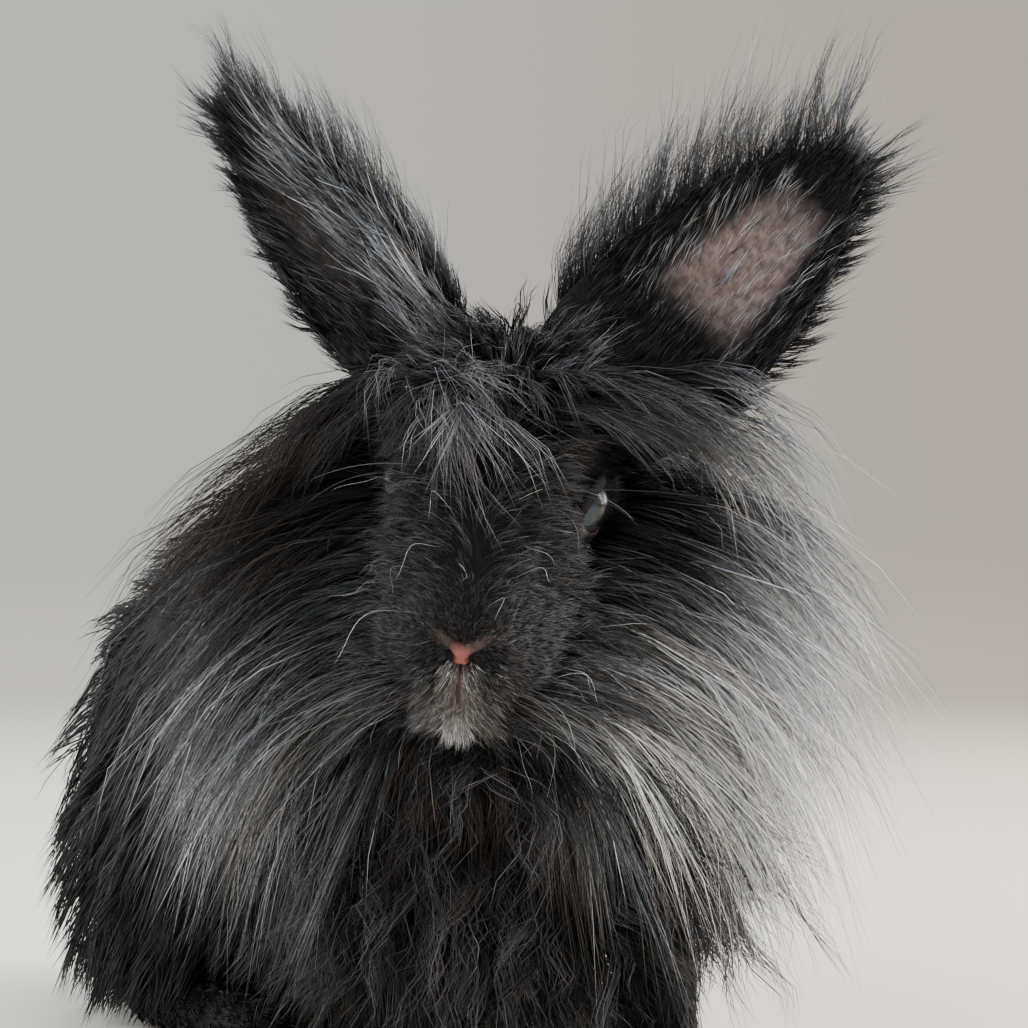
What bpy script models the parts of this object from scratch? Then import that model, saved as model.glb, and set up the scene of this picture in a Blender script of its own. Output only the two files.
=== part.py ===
"""Lionhead rabbit, life size, sitting on the floor with its head turned to its right.

The animal faces -Y, its left side is +X and the floor is Z = 0. Sizes are in millimetres and the meshes
are made in metres. The flesh is modelled whole and parted into nodes by thin cuts.
"""

import math
from typing import NamedTuple

import bmesh
import bpy
import numpy as np
from mathutils import Matrix

# Units and clearances, in millimetres
MM = 0.001
GAP = 0.3
FAR = 400.0

# The head: where it stands over the floor and how it is turned, in millimetres and degrees
EYE_MIDDLE = np.array((-24.0, -115.0, 148.0))
HEAD_YAW = -28.0
HEAD_ROLL = 7.5
HEAD_PITCH = 28.0
# y behind the eyes, half width, top, widest height, bottom
HEAD_STATIONS = (
    (-50.5, 9.5, -8.0, -17.0, -25.0),
    (-47.5, 14.5, -3.5, -19.0, -31.0),
    (-43.0, 18.0, 0.5, -21.0, -36.0),
    (-36.0, 20.2, 6.5, -21.0, -38.5),
    (-27.0, 21.6, 13.0, -18.0, -39.0),
    (-17.0, 22.6, 18.5, -14.0, -39.5),
    (-7.0, 23.6, 22.0, -12.0, -39.5),
    (3.0, 25.0, 24.5, -10.0, -38.0),
    (13.0, 26.4, 27.0, -8.0, -36.0),
    (23.0, 26.6, 28.0, -5.0, -32.0),
    (32.0, 24.0, 26.0, -2.0, -26.0),
    (39.0, 17.0, 20.5, 1.0, -17.0),
)
HEAD_SQUARENESS = 0.86
HEAD_POLES = ((-51.5, -16.0), (42.5, 4.0))

EYE_CENTRE = (18.4, 0.0, 0.5)
EYE_RADIUS = 8.2
LID_OUT = 7.4
LID_TURN = -12.0
LID_SIZE = (8.3, 7.0)
LID_THICKNESS = 1.7

# Nose and mouth, for the left side of the head
NOSTRIL_CENTRE = (6.0, -51.2, -12.6)
NOSTRIL_SIZE = (5.2, 3.2, 1.1)
NOSTRIL_TILT = 30.0
NOSE_CENTRE = (0.0, -49.5, -13.0)
NOSE_SIZE = (10.0, 4.2, 6.5)
PHILTRUM_CENTRE = (0.0, -51.5, -22.0)
PHILTRUM_SIZE = (0.7, 3.4, 6.2)
MOUTH_ALONG = (0.02, 0.07, 0.13, 0.20)
MOUTH_ANGLES = (180.0, 163.0, 152.0, 147.0)
MOUTH_LINE = 0.8
LIP_THICKNESS = 2.0
LIP_STEP = 9.0

# The torso, with the depth of its coat: y, half width, top, widest height, bottom
TORSO_STATIONS = (
    (-110.0, 22.0, 96.0, 76.0, 52.0),
    (-103.0, 38.0, 110.0, 74.0, 38.0),
    (-90.0, 51.0, 120.0, 71.0, 27.0),
    (-70.0, 60.0, 128.0, 68.0, 19.0),
    (-42.0, 65.0, 135.0, 66.0, 14.0),
    (-10.0, 68.0, 143.0, 65.0, 11.0),
    (25.0, 72.0, 152.0, 65.0, 9.0),
    (58.0, 74.0, 157.0, 66.0, 8.0),
    (86.0, 72.0, 154.0, 66.0, 8.0),
    (108.0, 64.0, 143.0, 66.0, 10.0),
    (125.0, 50.0, 124.0, 65.0, 16.0),
    (136.0, 32.0, 100.0, 63.0, 29.0),
)
TORSO_POLES = ((-113.0, 74.0), (141.0, 62.0))

# The neck, from the back of the head to the shoulders; its stations run along it as the torso's do
NECK_TOP = np.array((-10.0, -89.0, 156.0))
NECK_FOOT = np.array((0.0, -52.0, 108.0))
NECK_STATIONS = (
    (-6.0, 26.0, 25.0, 0.0, -26.0),
    (10.0, 31.0, 29.0, 0.0, -31.0),
    (28.0, 37.0, 33.0, 0.0, -38.0),
    (46.0, 44.0, 36.0, 0.0, -44.0),
    (64.0, 50.0, 38.0, 0.0, -48.0),
)
NECK_POLES = ((-16.0, 0.0), (74.0, 0.0))

# Two nested cones part the head from the neck and the neck from the torso: tip, axis, half angle
HEAD_CUT = (np.array((-12.0, -80.0, 150.0)), np.array((0.12, 0.78, -0.61)), 80.0)
NECK_CUT = (np.array((-2.0, -74.0, 120.0)), np.array((0.0, 0.68, -0.73)), 69.0)

# Each leg, given for the left side
THIGH_CENTRE = (46.0, 52.0, 49.0)
THIGH_RADII = (35.0, 53.0, 46.0)
THIGH_CUT_RADII = (47.0, 40.0)
THIGH_CUT_DEPTH = 40.0
FOOT_PATH = ((47.0, 84.0, 9.0), (48.0, 50.0, 8.5), (46.0, 14.0, 8.0), (44.0, -20.0, 7.0))
FOOT_RADII = ((11.0, 10.5), (12.0, 10.5), (12.5, 10.0), (10.5, 8.5))
ARM_PATH = (
    (34.0, -70.0, 66.0),
    (33.0, -82.0, 44.0),
    (31.0, -92.0, 22.0),
    (29.0, -102.0, 9.0),
    (28.0, -121.0, 6.0),
)
ARM_RADII = ((19.0, 21.0), (14.0, 15.0), (11.0, 11.0), (11.0, 10.0), (9.5, 7.5))
ARM_CUT_HEIGHT = 46.0

# The ears, given for the left side of the head, in the head's own directions
EAR_ROOT = (16.0, 27.0, 10.0)
EAR_LENGTH = 92.0
EAR_HALF_WIDTHS = {"left": 24.0, "right": 19.0}
EAR_CUP_DEPTH = 11.0
EAR_CUP_FADE = 0.55  # how much shallower the cup is at the tip
EAR_WALL = 3.2
EAR_CUT = 21.0
EAR_LEANS = {"left": (38.5, -8.0, -16.0), "right": (46.0, -8.0, 30.0)}
EAR_RINGS = 11
EAR_ACROSS = 7
EAR_BOW = 0.42
# Its width is a sine of the share of its length: where the sine starts, its stretch and its fullness
EAR_START = 0.16
EAR_STRETCH = 0.80
EAR_FULLNESS = 0.62
EAR_TIP_HALF_WIDTH = 3.0
EAR_TIP_DOME = 2.0
# The cup opens from this share of the length, over this much more
EAR_OPENS = 0.28
EAR_OPENS_OVER = 0.14
EAR_BLOCK = 60.0

TAIL_CENTRE = (0.0, 149.0, 52.0)
TAIL_RADII = (19.0, 20.0, 24.0)

# The cheeks' core under the ruff, for the left side of the head
CHEEK_CENTRE = (18.0, 17.0, -14.0)
CHEEK_RADII = (20.0, 20.0, 24.0)


class Locks(NamedTuple):
    """A field of like locks. Each leaves the skin one way and bends over to end up pointing another way."""

    along: tuple  # share of the skin's length where they root, from and to
    angle: tuple  # degrees from the top of the skin towards its side, from and to
    rings: int  # how many times along
    spokes: int  # how many on each ring
    length: float
    width: float
    start: tuple  # out of the skin, then sideways, back and up
    end: tuple  # sideways, back and up


LOCK_RINGS = 4
LOCK_TAPER = (0.6, 1.0, 0.92, 0.6, 0.0)
LOCK_SINK = 5.0
LOCK_FLATNESS = 0.24
LOCK_SPREAD = 0.35
LOCK_SEED = 11
LOCK_MARGIN = 1.8
LOCK_FLOOR = 9.0
LOCK_TWIST = 0.15  # how far a lock's flat side also turns towards the skin
LOCK_THINNEST = 0.35  # a lock's thickness at its tip, against its middle
LOCK_UNDERSIDE = 0.35  # the share of the thickness that lies under the lock's line
RING_STAGGER = 0.25
PLACE_JITTER = 0.02
ANGLE_JITTER = 0.15
START_JITTER = 0.09
END_JITTER = 0.10
WIDTH_JITTER = 0.15

# Locks of one side of the head, which the other side mirrors
HEAD_LOCKS = (
    Locks((0.63, 0.70), (12, 48), 1, 4, 62, 19, (0.30, 0.9, -0.55, 0.0), (0.50, -0.15, -1.00)),
    Locks((0.74, 0.93), (54, 84), 2, 3, 96, 22, (0.50, 0.9, 0.05, 0.1), (0.48, -0.05, -0.95)),
    Locks((0.64, 0.92), (96, 124), 3, 3, 88, 23, (0.80, 0.5, 0.00, -0.1), (0.38, -0.08, -0.95)),
    Locks((0.48, 0.84), (132, 154), 2, 3, 84, 22, (0.75, 0.4, -0.15, -0.2), (0.20, -0.12, -1.00)),
)
# The animal's right side hangs closer to the body
RIGHT_EASE = 0.70
FORELOCK = Locks((0.54, 0.66), (-28, 28), 2, 3, 34, 15, (0.20, 0.0, -1.0, 0.0), (0.0, -0.65, -0.80))
CROWN_TUFTS = Locks((0.72, 0.86), (-26, 26), 1, 4, 22, 12, (0.80, 0.2, -0.5, 0.6), (0.5, -0.5, 0.3))
BEARD = Locks((0.30, 0.60), (160, 200), 2, 3, 54, 18, (0.60, 0.0, -0.2, -0.5), (0.0, -0.10, -1.00))

# The ruff behind the head: on the neck, and on the chest in front of it
NECK_LOCKS = (
    Locks((0.22, 0.42), (8, 50), 1, 3, 56, 24, (0.30, 0.3, 0.9, 0.0), (0.25, 0.80, -0.55)),
    Locks((0.25, 0.60), (70, 112), 1, 3, 72, 24, (0.70, 0.7, 0.2, 0.1), (0.45, 0.20, -0.90)),
)
THROAT_LOCKS = Locks((0.00, 0.10), (2, 114), 2, 3, 58, 27, (0.60, 0.15, -0.5, -0.4), (0.10, -0.20, -1.00))

# The bib, on the chest
BIB_LOCKS = (
    Locks((0.06, 0.26), (76, 96), 2, 2, 52, 23, (0.40, 0.4, 0.1, -0.6), (0.10, 0.05, -1.00)),
    Locks((0.04, 0.18), (108, 176), 1, 4, 40, 22, (0.50, 0.2, -0.2, -0.6), (0.05, 0.00, -1.00)),
)
TAIL_LOCKS = Locks((0.35, 0.95), (20, 160), 2, 2, 20, 16, (0.45, 0.2, 0.5, 0.1), (0.10, 0.40, -0.70))

# The share of a node's triangles that stays when the thinnest slivers of its crossings are merged
KEPT_SHARE = 0.78


class Fringe(NamedTuple):
    """Locks along one edge of an ear, by the share of its length."""

    along: tuple
    count: int
    length: float
    width: float
    outwards: float  # how far they leave the edge, against the ear's own direction
    end_outwards: float


INNER_FRINGE = Fringe((0.30, 0.96), 5, 34.0, 15.0, 1.2, 0.30)
OUTER_FRINGE = Fringe((0.45, 0.96), 3, 16.0, 11.0, 0.5, 0.15)
TIP_TUFT = Fringe((0.93, 0.93), 1, 26.0, 10.0, 0.20, 0.10)
FRINGE_EDGE = 0.86  # where across the ear a fringe roots
FRINGE_RISE = 0.6  # how far it leaves the edge upwards, against outwards
FRINGE_LEAN = (-0.1, 0.3)  # how far back it starts, from and to
FRINGE_END_LEAN = (-0.35, 0.0)  # and ends
FRINGE_START_UP = 0.9
FRINGE_SPREAD = (0.8, 1.15)  # lengths, against the fringe's own
FRINGE_FACE = 0.35  # how far its flat side looks outwards, against backwards

# Round tubes narrow at their ends by this dome, and their poles stand out by a share of the last radius
DOME_POWER = 8
DOME_LEAST = 0.16
POLE_REACH = 0.45
STEEPEST_SIDE = 0.2
FOOT_ROOM = 1.0
TAIL_ENDS = (0.88, 0.12)
DULL = 0.85
WET = 0.15
SHARP_ANGLE = 50.0

COLOURS = {
    "coat": (0.018, 0.018, 0.020),
    "mane": (0.16, 0.16, 0.17),
    "ear": (0.030, 0.028, 0.030),
    "tail": (0.05, 0.05, 0.055),
    "eye": (0.012, 0.010, 0.012),
}


def clear_scene():
    """Take away whatever the scene already holds."""
    for thing in list(bpy.data.objects):
        bpy.data.objects.remove(thing)


def material(name, roughness):
    """One plain finish in the animal's colour."""
    made = bpy.data.materials.get(name)
    if made is None:
        made = bpy.data.materials.new(name)
        made.use_nodes = True
        shader = made.node_tree.nodes["Principled BSDF"]
        shader.inputs["Base Color"].default_value = (*COLOURS[name], 1.0)
        shader.inputs["Roughness"].default_value = roughness
        shader.inputs["Metallic"].default_value = 0.0
    return made


def mesh_object(name, points, faces):
    """A mesh object from points in millimetres."""
    mesh = bpy.data.meshes.new(name)
    mesh.from_pydata([tuple(p) for p in np.asarray(points) * MM], [], faces)
    made = bpy.data.objects.new(name, mesh)
    bpy.context.scene.collection.objects.link(made)
    return made


def smooth_rows(rows, steps):
    """Read a table's columns along a Catmull-Rom curve at evenly spread places."""
    rows = np.asarray(rows, float)
    ends = np.vstack([2 * rows[0] - rows[1], rows, 2 * rows[-1] - rows[-2]])
    places = np.linspace(0.0, len(rows) - 1.0, steps)
    first = np.minimum(places.astype(int), len(rows) - 2)
    t = (places - first)[:, None]
    a, b, c, d = (ends[first + k] for k in range(4))
    return 0.5 * (2 * b + (c - a) * t + (2 * a - 5 * b + 4 * c - d) * t**2 + (3 * b - a - 3 * c + d) * t**3)


def ring_faces(rings, around, first_pole, last_pole):
    """Triangles of a closed skin over rings of points, with a pole at each end."""
    faces = []
    for k in range(around):
        after = (k + 1) % around
        faces.append((first_pole, after, k))
        faces.append((last_pole, (rings - 1) * around + k, (rings - 1) * around + after))
        for ring in range(rings - 1):
            a, b = ring * around + k, ring * around + after
            c, d = a + around, b + around
            faces += [(a, b, d), (a, d, c)]
    return faces


def head_matrix():
    """Turns the head's own directions into the animal's: nose down, rolled, then turned aside."""
    pitch = Matrix.Rotation(math.radians(HEAD_PITCH), 3, "X")
    roll = Matrix.Rotation(math.radians(HEAD_ROLL), 3, "Y")
    yaw = Matrix.Rotation(math.radians(HEAD_YAW), 3, "Z")
    return np.array(yaw @ roll @ pitch)


HEAD_TURN = head_matrix()


def from_head(points):
    """Points in the head's own frame, as points over the floor."""
    return np.asarray(points) @ HEAD_TURN.T + EYE_MIDDLE


class Loft:
    """A closed skin through upright egg-shaped stations along y."""

    def __init__(self, stations, poles, rings, around, place=lambda p: p, squareness=1.0):
        self.rows = smooth_rows(stations, rings)
        self.poles = poles
        self.around = around
        self.place = place
        self.squareness = squareness

    def section(self, rows, angle, grow=0.0):
        """The points of stations at angles from the top towards the left side, one of each to a point."""
        y, half, top, widest, bottom = rows.T
        across, upright = np.sin(angle), np.cos(angle)
        height = np.where(upright > 0, top - widest, widest - bottom) + grow
        across = np.sign(across) * np.abs(across) ** self.squareness
        upright = np.sign(upright) * np.abs(upright) ** self.squareness
        return np.stack([(half + grow) * across, y, widest + height * upright], axis=-1)

    def solid(self, name, grow=0.0):
        """The closed mesh of the skin, moved out everywhere by grow."""
        angles = np.tile(np.linspace(0.0, 2 * math.pi, self.around, endpoint=False), len(self.rows))
        rows = np.repeat(self.rows, self.around, axis=0)
        first, last = self.poles
        ends = [(0.0, first[0] - grow, first[1]), (0.0, last[0] + grow, last[1])]
        points = self.place(np.vstack([self.section(rows, angles, grow), ends]))
        count = len(angles)
        return mesh_object(name, points, ring_faces(len(self.rows), self.around, count, count + 1))

    def read(self, along, angle):
        """Points of the skin between its stations, before they are placed."""
        place = np.clip(along, 0.0, 1.0) * (len(self.rows) - 1)
        low = np.minimum(place.astype(int), len(self.rows) - 2)
        part = (place - low)[:, None]
        return self.section(self.rows[low] * (1 - part) + self.rows[low + 1] * part, angle)

    def at(self, along, angle):
        """Points and outward directions of the skin, along from 0 to 1 and at angles from its top."""
        step = 0.01
        lengthways = self.read(along + step, angle) - self.read(along - step, angle)
        sideways = self.read(along, angle + step) - self.read(along, angle - step)
        out = np.cross(sideways, lengthways)
        out /= np.linalg.norm(out, axis=1)[:, None]
        origin = self.place(np.zeros((1, 3)))
        return self.place(self.read(along, angle)), self.place(out) - origin


def tube(name, path, radii, rings, around, grow=0.0, flat=None):
    """A closed tube along a smooth path, with an upright oval section and domed ends."""
    rows = smooth_rows(np.hstack([path, radii]), rings)
    centres = rows[:, :3]
    ahead = np.gradient(centres, axis=0)
    ahead /= np.linalg.norm(ahead, axis=1)[:, None]
    side = np.cross(ahead, (0.0, 0.0, 1.0))
    side = np.where(np.linalg.norm(side, axis=1)[:, None] > STEEPEST_SIDE, side, (1.0, 0.0, 0.0))
    side /= np.linalg.norm(side, axis=1)[:, None]
    up = np.cross(side, ahead)
    angles = np.linspace(0.0, 2 * math.pi, around, endpoint=False)
    dome = np.sqrt(np.clip(1 - np.linspace(-1, 1, rings) ** DOME_POWER, DOME_LEAST, 1.0))
    points = [
        c
        + np.outer(np.sin(angles), s) * (r[3] + grow) * d
        + np.outer(np.cos(angles), u) * (r[4] + grow) * d
        for c, s, u, r, d in zip(centres, side, up, rows, dome)
    ]
    reach = rows[:, 4] * POLE_REACH + grow
    ends = [centres[0] - ahead[0] * reach[0], centres[-1] + ahead[-1] * reach[-1]]
    points = np.vstack([*points, ends])
    if flat is not None:
        points[:, 2] = np.maximum(points[:, 2], flat)
    count = rings * around
    return mesh_object(name, points, ring_faces(rings, around, count, count + 1))


def ball(name, centre, radii, rings=10, around=18, grow=0.0):
    """An egg-shaped closed mesh."""
    turns = np.linspace(0.0, math.pi, rings + 2)[1:-1]
    angles = np.linspace(0.0, 2 * math.pi, around, endpoint=False)
    sizes = np.asarray(radii, float) + grow
    points = []
    for t in turns:
        across, upright = np.sin(t) * np.sin(angles), np.sin(t) * np.cos(angles)
        points.append(np.stack([across, np.full(around, -np.cos(t)), upright], axis=-1))
    points = np.vstack([*points, [(0.0, -1.0, 0.0)], [(0.0, 1.0, 0.0)]]) * sizes + np.asarray(centre)
    count = rings * around
    return mesh_object(name, points, ring_faces(rings, around, count, count + 1))


def unit(vector):
    """The vector at length one."""
    vector = np.asarray(vector, float)
    return vector / np.linalg.norm(vector)


def inside_cone(points, cut):
    """How far each point lies within a cone, and the direction straight out of it."""
    apex, axis, half_angle = cut
    axis = unit(axis)
    angle = math.radians(half_angle)
    offset = points - apex
    height = offset @ axis
    radial = offset - np.outer(height, axis)
    radius = np.linalg.norm(radial, axis=1)
    radial = radial / np.maximum(radius, 1e-6)[:, None]
    depth = height * math.sin(angle) - radius * math.cos(angle)
    return depth, radial * math.cos(angle) - axis * math.sin(angle)


def bend_out_of(points, cut, margin):
    """Move the points that lie within a cone, or closer than a margin, straight out of it."""
    depth, out = inside_cone(points, cut)
    return points + out * np.maximum(depth + margin, 0.0)[:, None]


def bend_into(points, cut, margin):
    """Move the points that lie outside a cone, or closer than a margin, straight into it."""
    depth, out = inside_cone(points, cut)
    return points - out * np.maximum(margin - depth, 0.0)[:, None]


def lock(root, out, start, end, length, width, bend=lambda p: p, face=None):
    """A flat tapered lock whose line turns evenly from its start to its end direction."""
    t = np.linspace(0.0, 1.0, LOCK_RINGS + 1)[:, None]
    line = root - out * LOCK_SINK + length * (start * (t - t**2 / 2) + end * t**2 / 2)
    line = np.vstack([line[:1], bend(line[1:])])
    ahead = np.gradient(line, axis=0)
    ahead /= np.linalg.norm(ahead, axis=1)[:, None]
    if face is None:
        across = unit(np.cross(start, end) + LOCK_TWIST * np.cross(start, out))
    else:
        across = unit(np.cross(face, start + end))
    ridge = np.cross(across, ahead)
    if np.dot(ridge[1], out) < 0:
        ridge = -ridge
    taper = np.array(LOCK_TAPER)[:, None]
    half = across * taper * width / 2
    thick = ridge * (LOCK_THINNEST + (1 - LOCK_THINNEST) * taper) * width * LOCK_FLATNESS
    under, over = line - thick * LOCK_UNDERSIDE, line + thick * (1 - LOCK_UNDERSIDE)
    rings = np.stack([under - half, over, under + half], axis=1)
    points = np.vstack([rings[:-1].reshape(-1, 3), [line[-1]]])
    tip = len(points) - 1
    faces = [(0, 1, 2)]
    for ring in range(LOCK_RINGS - 1):
        for k in range(3):
            a, b = ring * 3 + k, ring * 3 + (k + 1) % 3
            faces += [(a, b, b + 3), (a, b + 3, a + 3)]
    faces += [(tip - 3 + k, tip - 3 + (k + 1) % 3, tip) for k in range(3)]
    return facing_out(mesh_object("lock", points, faces))


def above_floor(points):
    """Shorten the drop of a lock whose end would come too near the floor."""
    points = points.copy()
    top, low = points[0, 2], points[:, 2].min()
    if low < LOCK_FLOOR:
        points[:, 2] = top - (top - points[:, 2]) * (top - LOCK_FLOOR) / (top - low)
    return points


def spread_over(first, last, count, stagger=0.0):
    """Evenly spaced places in the middles of equal shares, moved on by part of a share."""
    step = (last - first) / count
    return [first + (k + 0.5 + stagger) * step for k in range(count)]


def field(skin, locks, side, axes, draw, bend=lambda p: p, ease=1.0):
    """All the locks of one field on a skin, in staggered rings with small differences, their spread eased."""
    made = []
    for ring, along in enumerate(spread_over(*locks.along, locks.rings)):
        stagger = (RING_STAGGER if ring % 2 else -RING_STAGGER) * (locks.rings > 1)
        step = (locks.angle[1] - locks.angle[0]) / locks.spokes
        for angle in spread_over(*locks.angle, locks.spokes, stagger):
            angle += draw.uniform(-ANGLE_JITTER, ANGLE_JITTER) * step
            place = along + draw.uniform(-PLACE_JITTER, PLACE_JITTER)
            point, out = skin.at(np.array([place]), np.radians([side * angle]))
            point, out = point[0], unit(out[0])
            turn = side if locks.angle[0] >= 0 else math.sin(math.radians(angle))
            push, sideways, back, up = locks.start
            start = out * push + axes @ np.array((sideways * turn, back, up))
            start = unit(start + draw.normal(0.0, START_JITTER, 3))
            sideways, back, up = locks.end
            end = axes @ np.array((sideways * turn * ease, back, up))
            end = unit(end + draw.normal(0.0, END_JITTER, 3))
            length = locks.length * draw.uniform(1 - LOCK_SPREAD / 2, 1 + LOCK_SPREAD / 2)
            width = locks.width * draw.uniform(1 - WIDTH_JITTER, 1 + WIDTH_JITTER)
            made.append(lock(point, out, start, end, length, width, bend))
    return made


def cone_solid(name, cut, shift):
    """All the room behind a cone that opens backwards, moved back along its axis by shift."""
    apex, axis, half_angle = cut
    axis = unit(axis)
    side = unit(np.cross(axis, (0.0, 0.0, 1.0)))
    up = np.cross(side, axis)
    around = 40
    angles = np.linspace(0.0, 2 * math.pi, around, endpoint=False)
    start = apex + axis * shift / math.sin(math.radians(half_angle))
    rim = np.outer(np.sin(angles), side) + np.outer(np.cos(angles), up)
    depth = FAR / math.tan(math.radians(half_angle))
    points = [start + rim * FAR + axis * depth, start + rim * FAR + axis * (depth + FAR)]
    points = np.vstack([*points, [start], [start + axis * (depth + FAR)]])
    faces = ring_faces(2, around, 2 * around, 2 * around + 1)
    return facing_out(mesh_object(name, points, faces))


def facing_out(thing):
    """Turn a closed mesh's faces outwards."""
    work = bmesh.new()
    work.from_mesh(thing.data)
    bmesh.ops.recalc_face_normals(work, faces=work.faces)
    if work.calc_volume(signed=True) < 0:
        bmesh.ops.reverse_faces(work, faces=work.faces)
    work.to_mesh(thing.data)
    work.free()
    return thing


def combine(base, others, operation):
    """Join the others to the base, or cut or keep by them, in one Boolean, and take the others away."""
    group = bpy.data.collections.new("operands")
    bpy.context.scene.collection.children.link(group)
    for other in others:
        group.objects.link(other)
    change = base.modifiers.new("combine", "BOOLEAN")
    change.operation = operation
    change.solver = "MANIFOLD"
    change.operand_type = "COLLECTION"
    change.collection = group
    graph = bpy.context.evaluated_depsgraph_get()
    shaped = bpy.data.meshes.new_from_object(base.evaluated_get(graph))
    base.modifiers.clear()
    base.data = shaped
    for other in others:
        bpy.data.objects.remove(other)
    bpy.data.collections.remove(group)
    return base


def keep_largest(thing):
    """Leave only the largest closed surface of a mesh."""
    work = bmesh.new()
    work.from_mesh(thing.data)
    work.faces.ensure_lookup_table()
    seen, islands = set(), []
    for face in work.faces:
        if face.index in seen:
            continue
        island, front = [], [face]
        seen.add(face.index)
        while front:
            here = front.pop()
            island.append(here)
            for edge in here.edges:
                for near in edge.link_faces:
                    if near.index not in seen:
                        seen.add(near.index)
                        front.append(near)
        islands.append(island)
    islands.sort(key=lambda faces: sum(f.calc_area() for f in faces))
    for island in islands[:-1]:
        bmesh.ops.delete(work, geom=island, context="FACES")
    work.to_mesh(thing.data)
    work.free()
    return thing


def merge_slivers(thing):
    """Merge the thinnest triangles that the crossings leave."""
    thinning = thing.modifiers.new("thinning", "DECIMATE")
    thinning.ratio = KEPT_SHARE
    thinning.use_collapse_triangulate = True
    graph = bpy.context.evaluated_depsgraph_get()
    shaped = bpy.data.meshes.new_from_object(thing.evaluated_get(graph))
    thing.modifiers.clear()
    thing.data = shaped
    return thing


def copy_of(thing, name):
    """A separate copy of an object and its mesh."""
    made = thing.copy()
    made.data = thing.data.copy()
    made.name = name
    bpy.context.scene.collection.objects.link(made)
    return made


def mirrored(values, side):
    """A point given for the left side, moved to the side asked for."""
    x, *rest = values
    return (x if side == "left" else -x, *rest)


BOX_FACES = [(0, 1, 3, 2), (4, 6, 7, 5), (0, 4, 5, 1), (2, 3, 7, 6), (0, 2, 6, 4), (1, 5, 7, 3)]


def box(name, low, high):
    """A plain block between two corners."""
    corners = [(x, y, z) for x in (low[0], high[0]) for y in (low[1], high[1]) for z in (low[2], high[2])]
    return facing_out(mesh_object(name, corners, BOX_FACES))


def prism(name, centre, radii, x_range, grow=0.0, around=22):
    """An upright oval bar that runs across the animal."""
    angles = np.linspace(0.0, 2 * math.pi, around, endpoint=False)
    y = centre[0] + np.cos(angles) * (radii[0] + grow)
    z = centre[1] + np.sin(angles) * (radii[1] + grow)
    ring = np.stack([np.zeros(around), y, z], axis=-1)
    points = np.vstack([ring + (x_range[0], 0, 0), ring + (x_range[1], 0, 0)])
    faces = [tuple(range(around)), tuple(range(around, 2 * around))]
    faces += [(k, (k + 1) % around, around + (k + 1) % around, around + k) for k in range(around)]
    return facing_out(mesh_object(name, points, faces))


def head_loft():
    """The head with its short fur."""
    return Loft(HEAD_STATIONS, HEAD_POLES, 22, 28, from_head, HEAD_SQUARENESS)


def torso_loft():
    """The torso with the depth of its coat."""
    return Loft(TORSO_STATIONS, TORSO_POLES, 15, 24)


def neck_turn():
    """The neck's sideways, lengthways and up, as the columns of a turn."""
    ahead = unit(NECK_FOOT - NECK_TOP)
    side = unit(np.cross(ahead, (0.0, 0.0, 1.0)))
    return np.stack([side, ahead, np.cross(side, ahead)], axis=1)


def neck_loft():
    """The neck and the dense coat on it."""
    turn = neck_turn()
    return Loft(NECK_STATIONS, NECK_POLES, 8, 20, lambda points: np.asarray(points) @ turn.T + NECK_TOP)


def flesh():
    """The whole animal without ears, eyes and tail, as one closed body."""
    whole = torso_loft().solid("flesh")
    parts = [head_loft().solid("head_base"), neck_loft().solid("neck_base")]
    for side in ("left", "right"):
        parts.append(ball("thigh", mirrored(THIGH_CENTRE, side), THIGH_RADII, 8, 14))
        parts.append(foot(side))
        parts.append(arm(side))
    for part in [whole, *parts]:
        facing_out(part)
    return combine(whole, parts, "UNION")


def foot(side, grow=0.0):
    """A long hind foot, flat under its sole."""
    path = [mirrored(p, side) for p in FOOT_PATH]
    return facing_out(tube("foot", path, FOOT_RADII, 9, 12, grow, flat=-grow))


def arm(side, grow=0.0):
    """A foreleg with its paw, flat under the sole."""
    path = [mirrored(p, side) for p in ARM_PATH]
    return facing_out(tube("arm", path, ARM_RADII, 11, 12, grow, flat=-grow))


def ear_turn(side):
    """How an ear's own directions, across, back and up to its tip, turn into the animal's."""
    splay, back, turn = EAR_LEANS[side]
    sign = 1.0 if side == "left" else -1.0
    lean = (
        Matrix.Rotation(math.radians(sign * splay), 3, "Y")
        @ Matrix.Rotation(math.radians(back), 3, "X")
        @ Matrix.Rotation(math.radians(sign * turn), 3, "Z")
    )
    upright = Matrix.Rotation(math.radians(-HEAD_PITCH), 3, "X")
    return HEAD_TURN @ np.array(upright @ lean)


def from_ear(side, points):
    """Points in an ear's own frame, as points over the floor."""
    return np.asarray(points) @ ear_turn(side).T + from_head(mirrored(EAR_ROOT, side))


def ear_leaf(side, share, spread, grow=0.0):
    """A place on the middle of an ear's wall: share from root to tip, spread from -1 to 1 across."""
    swell = np.sin(math.pi * (EAR_START + (1 - EAR_START) * share) ** EAR_STRETCH) ** EAR_FULLNESS
    half = np.maximum((EAR_HALF_WIDTHS[side] + grow) * swell, EAR_TIP_HALF_WIDTH)
    bow = math.pi * EAR_BOW
    across = half * np.sin(bow * spread) / math.sin(bow)
    depth = EAR_CUP_DEPTH * (1 - EAR_CUP_FADE * share) * (np.cos(bow * spread) - math.cos(bow))
    return across, depth, share * EAR_LENGTH


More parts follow.
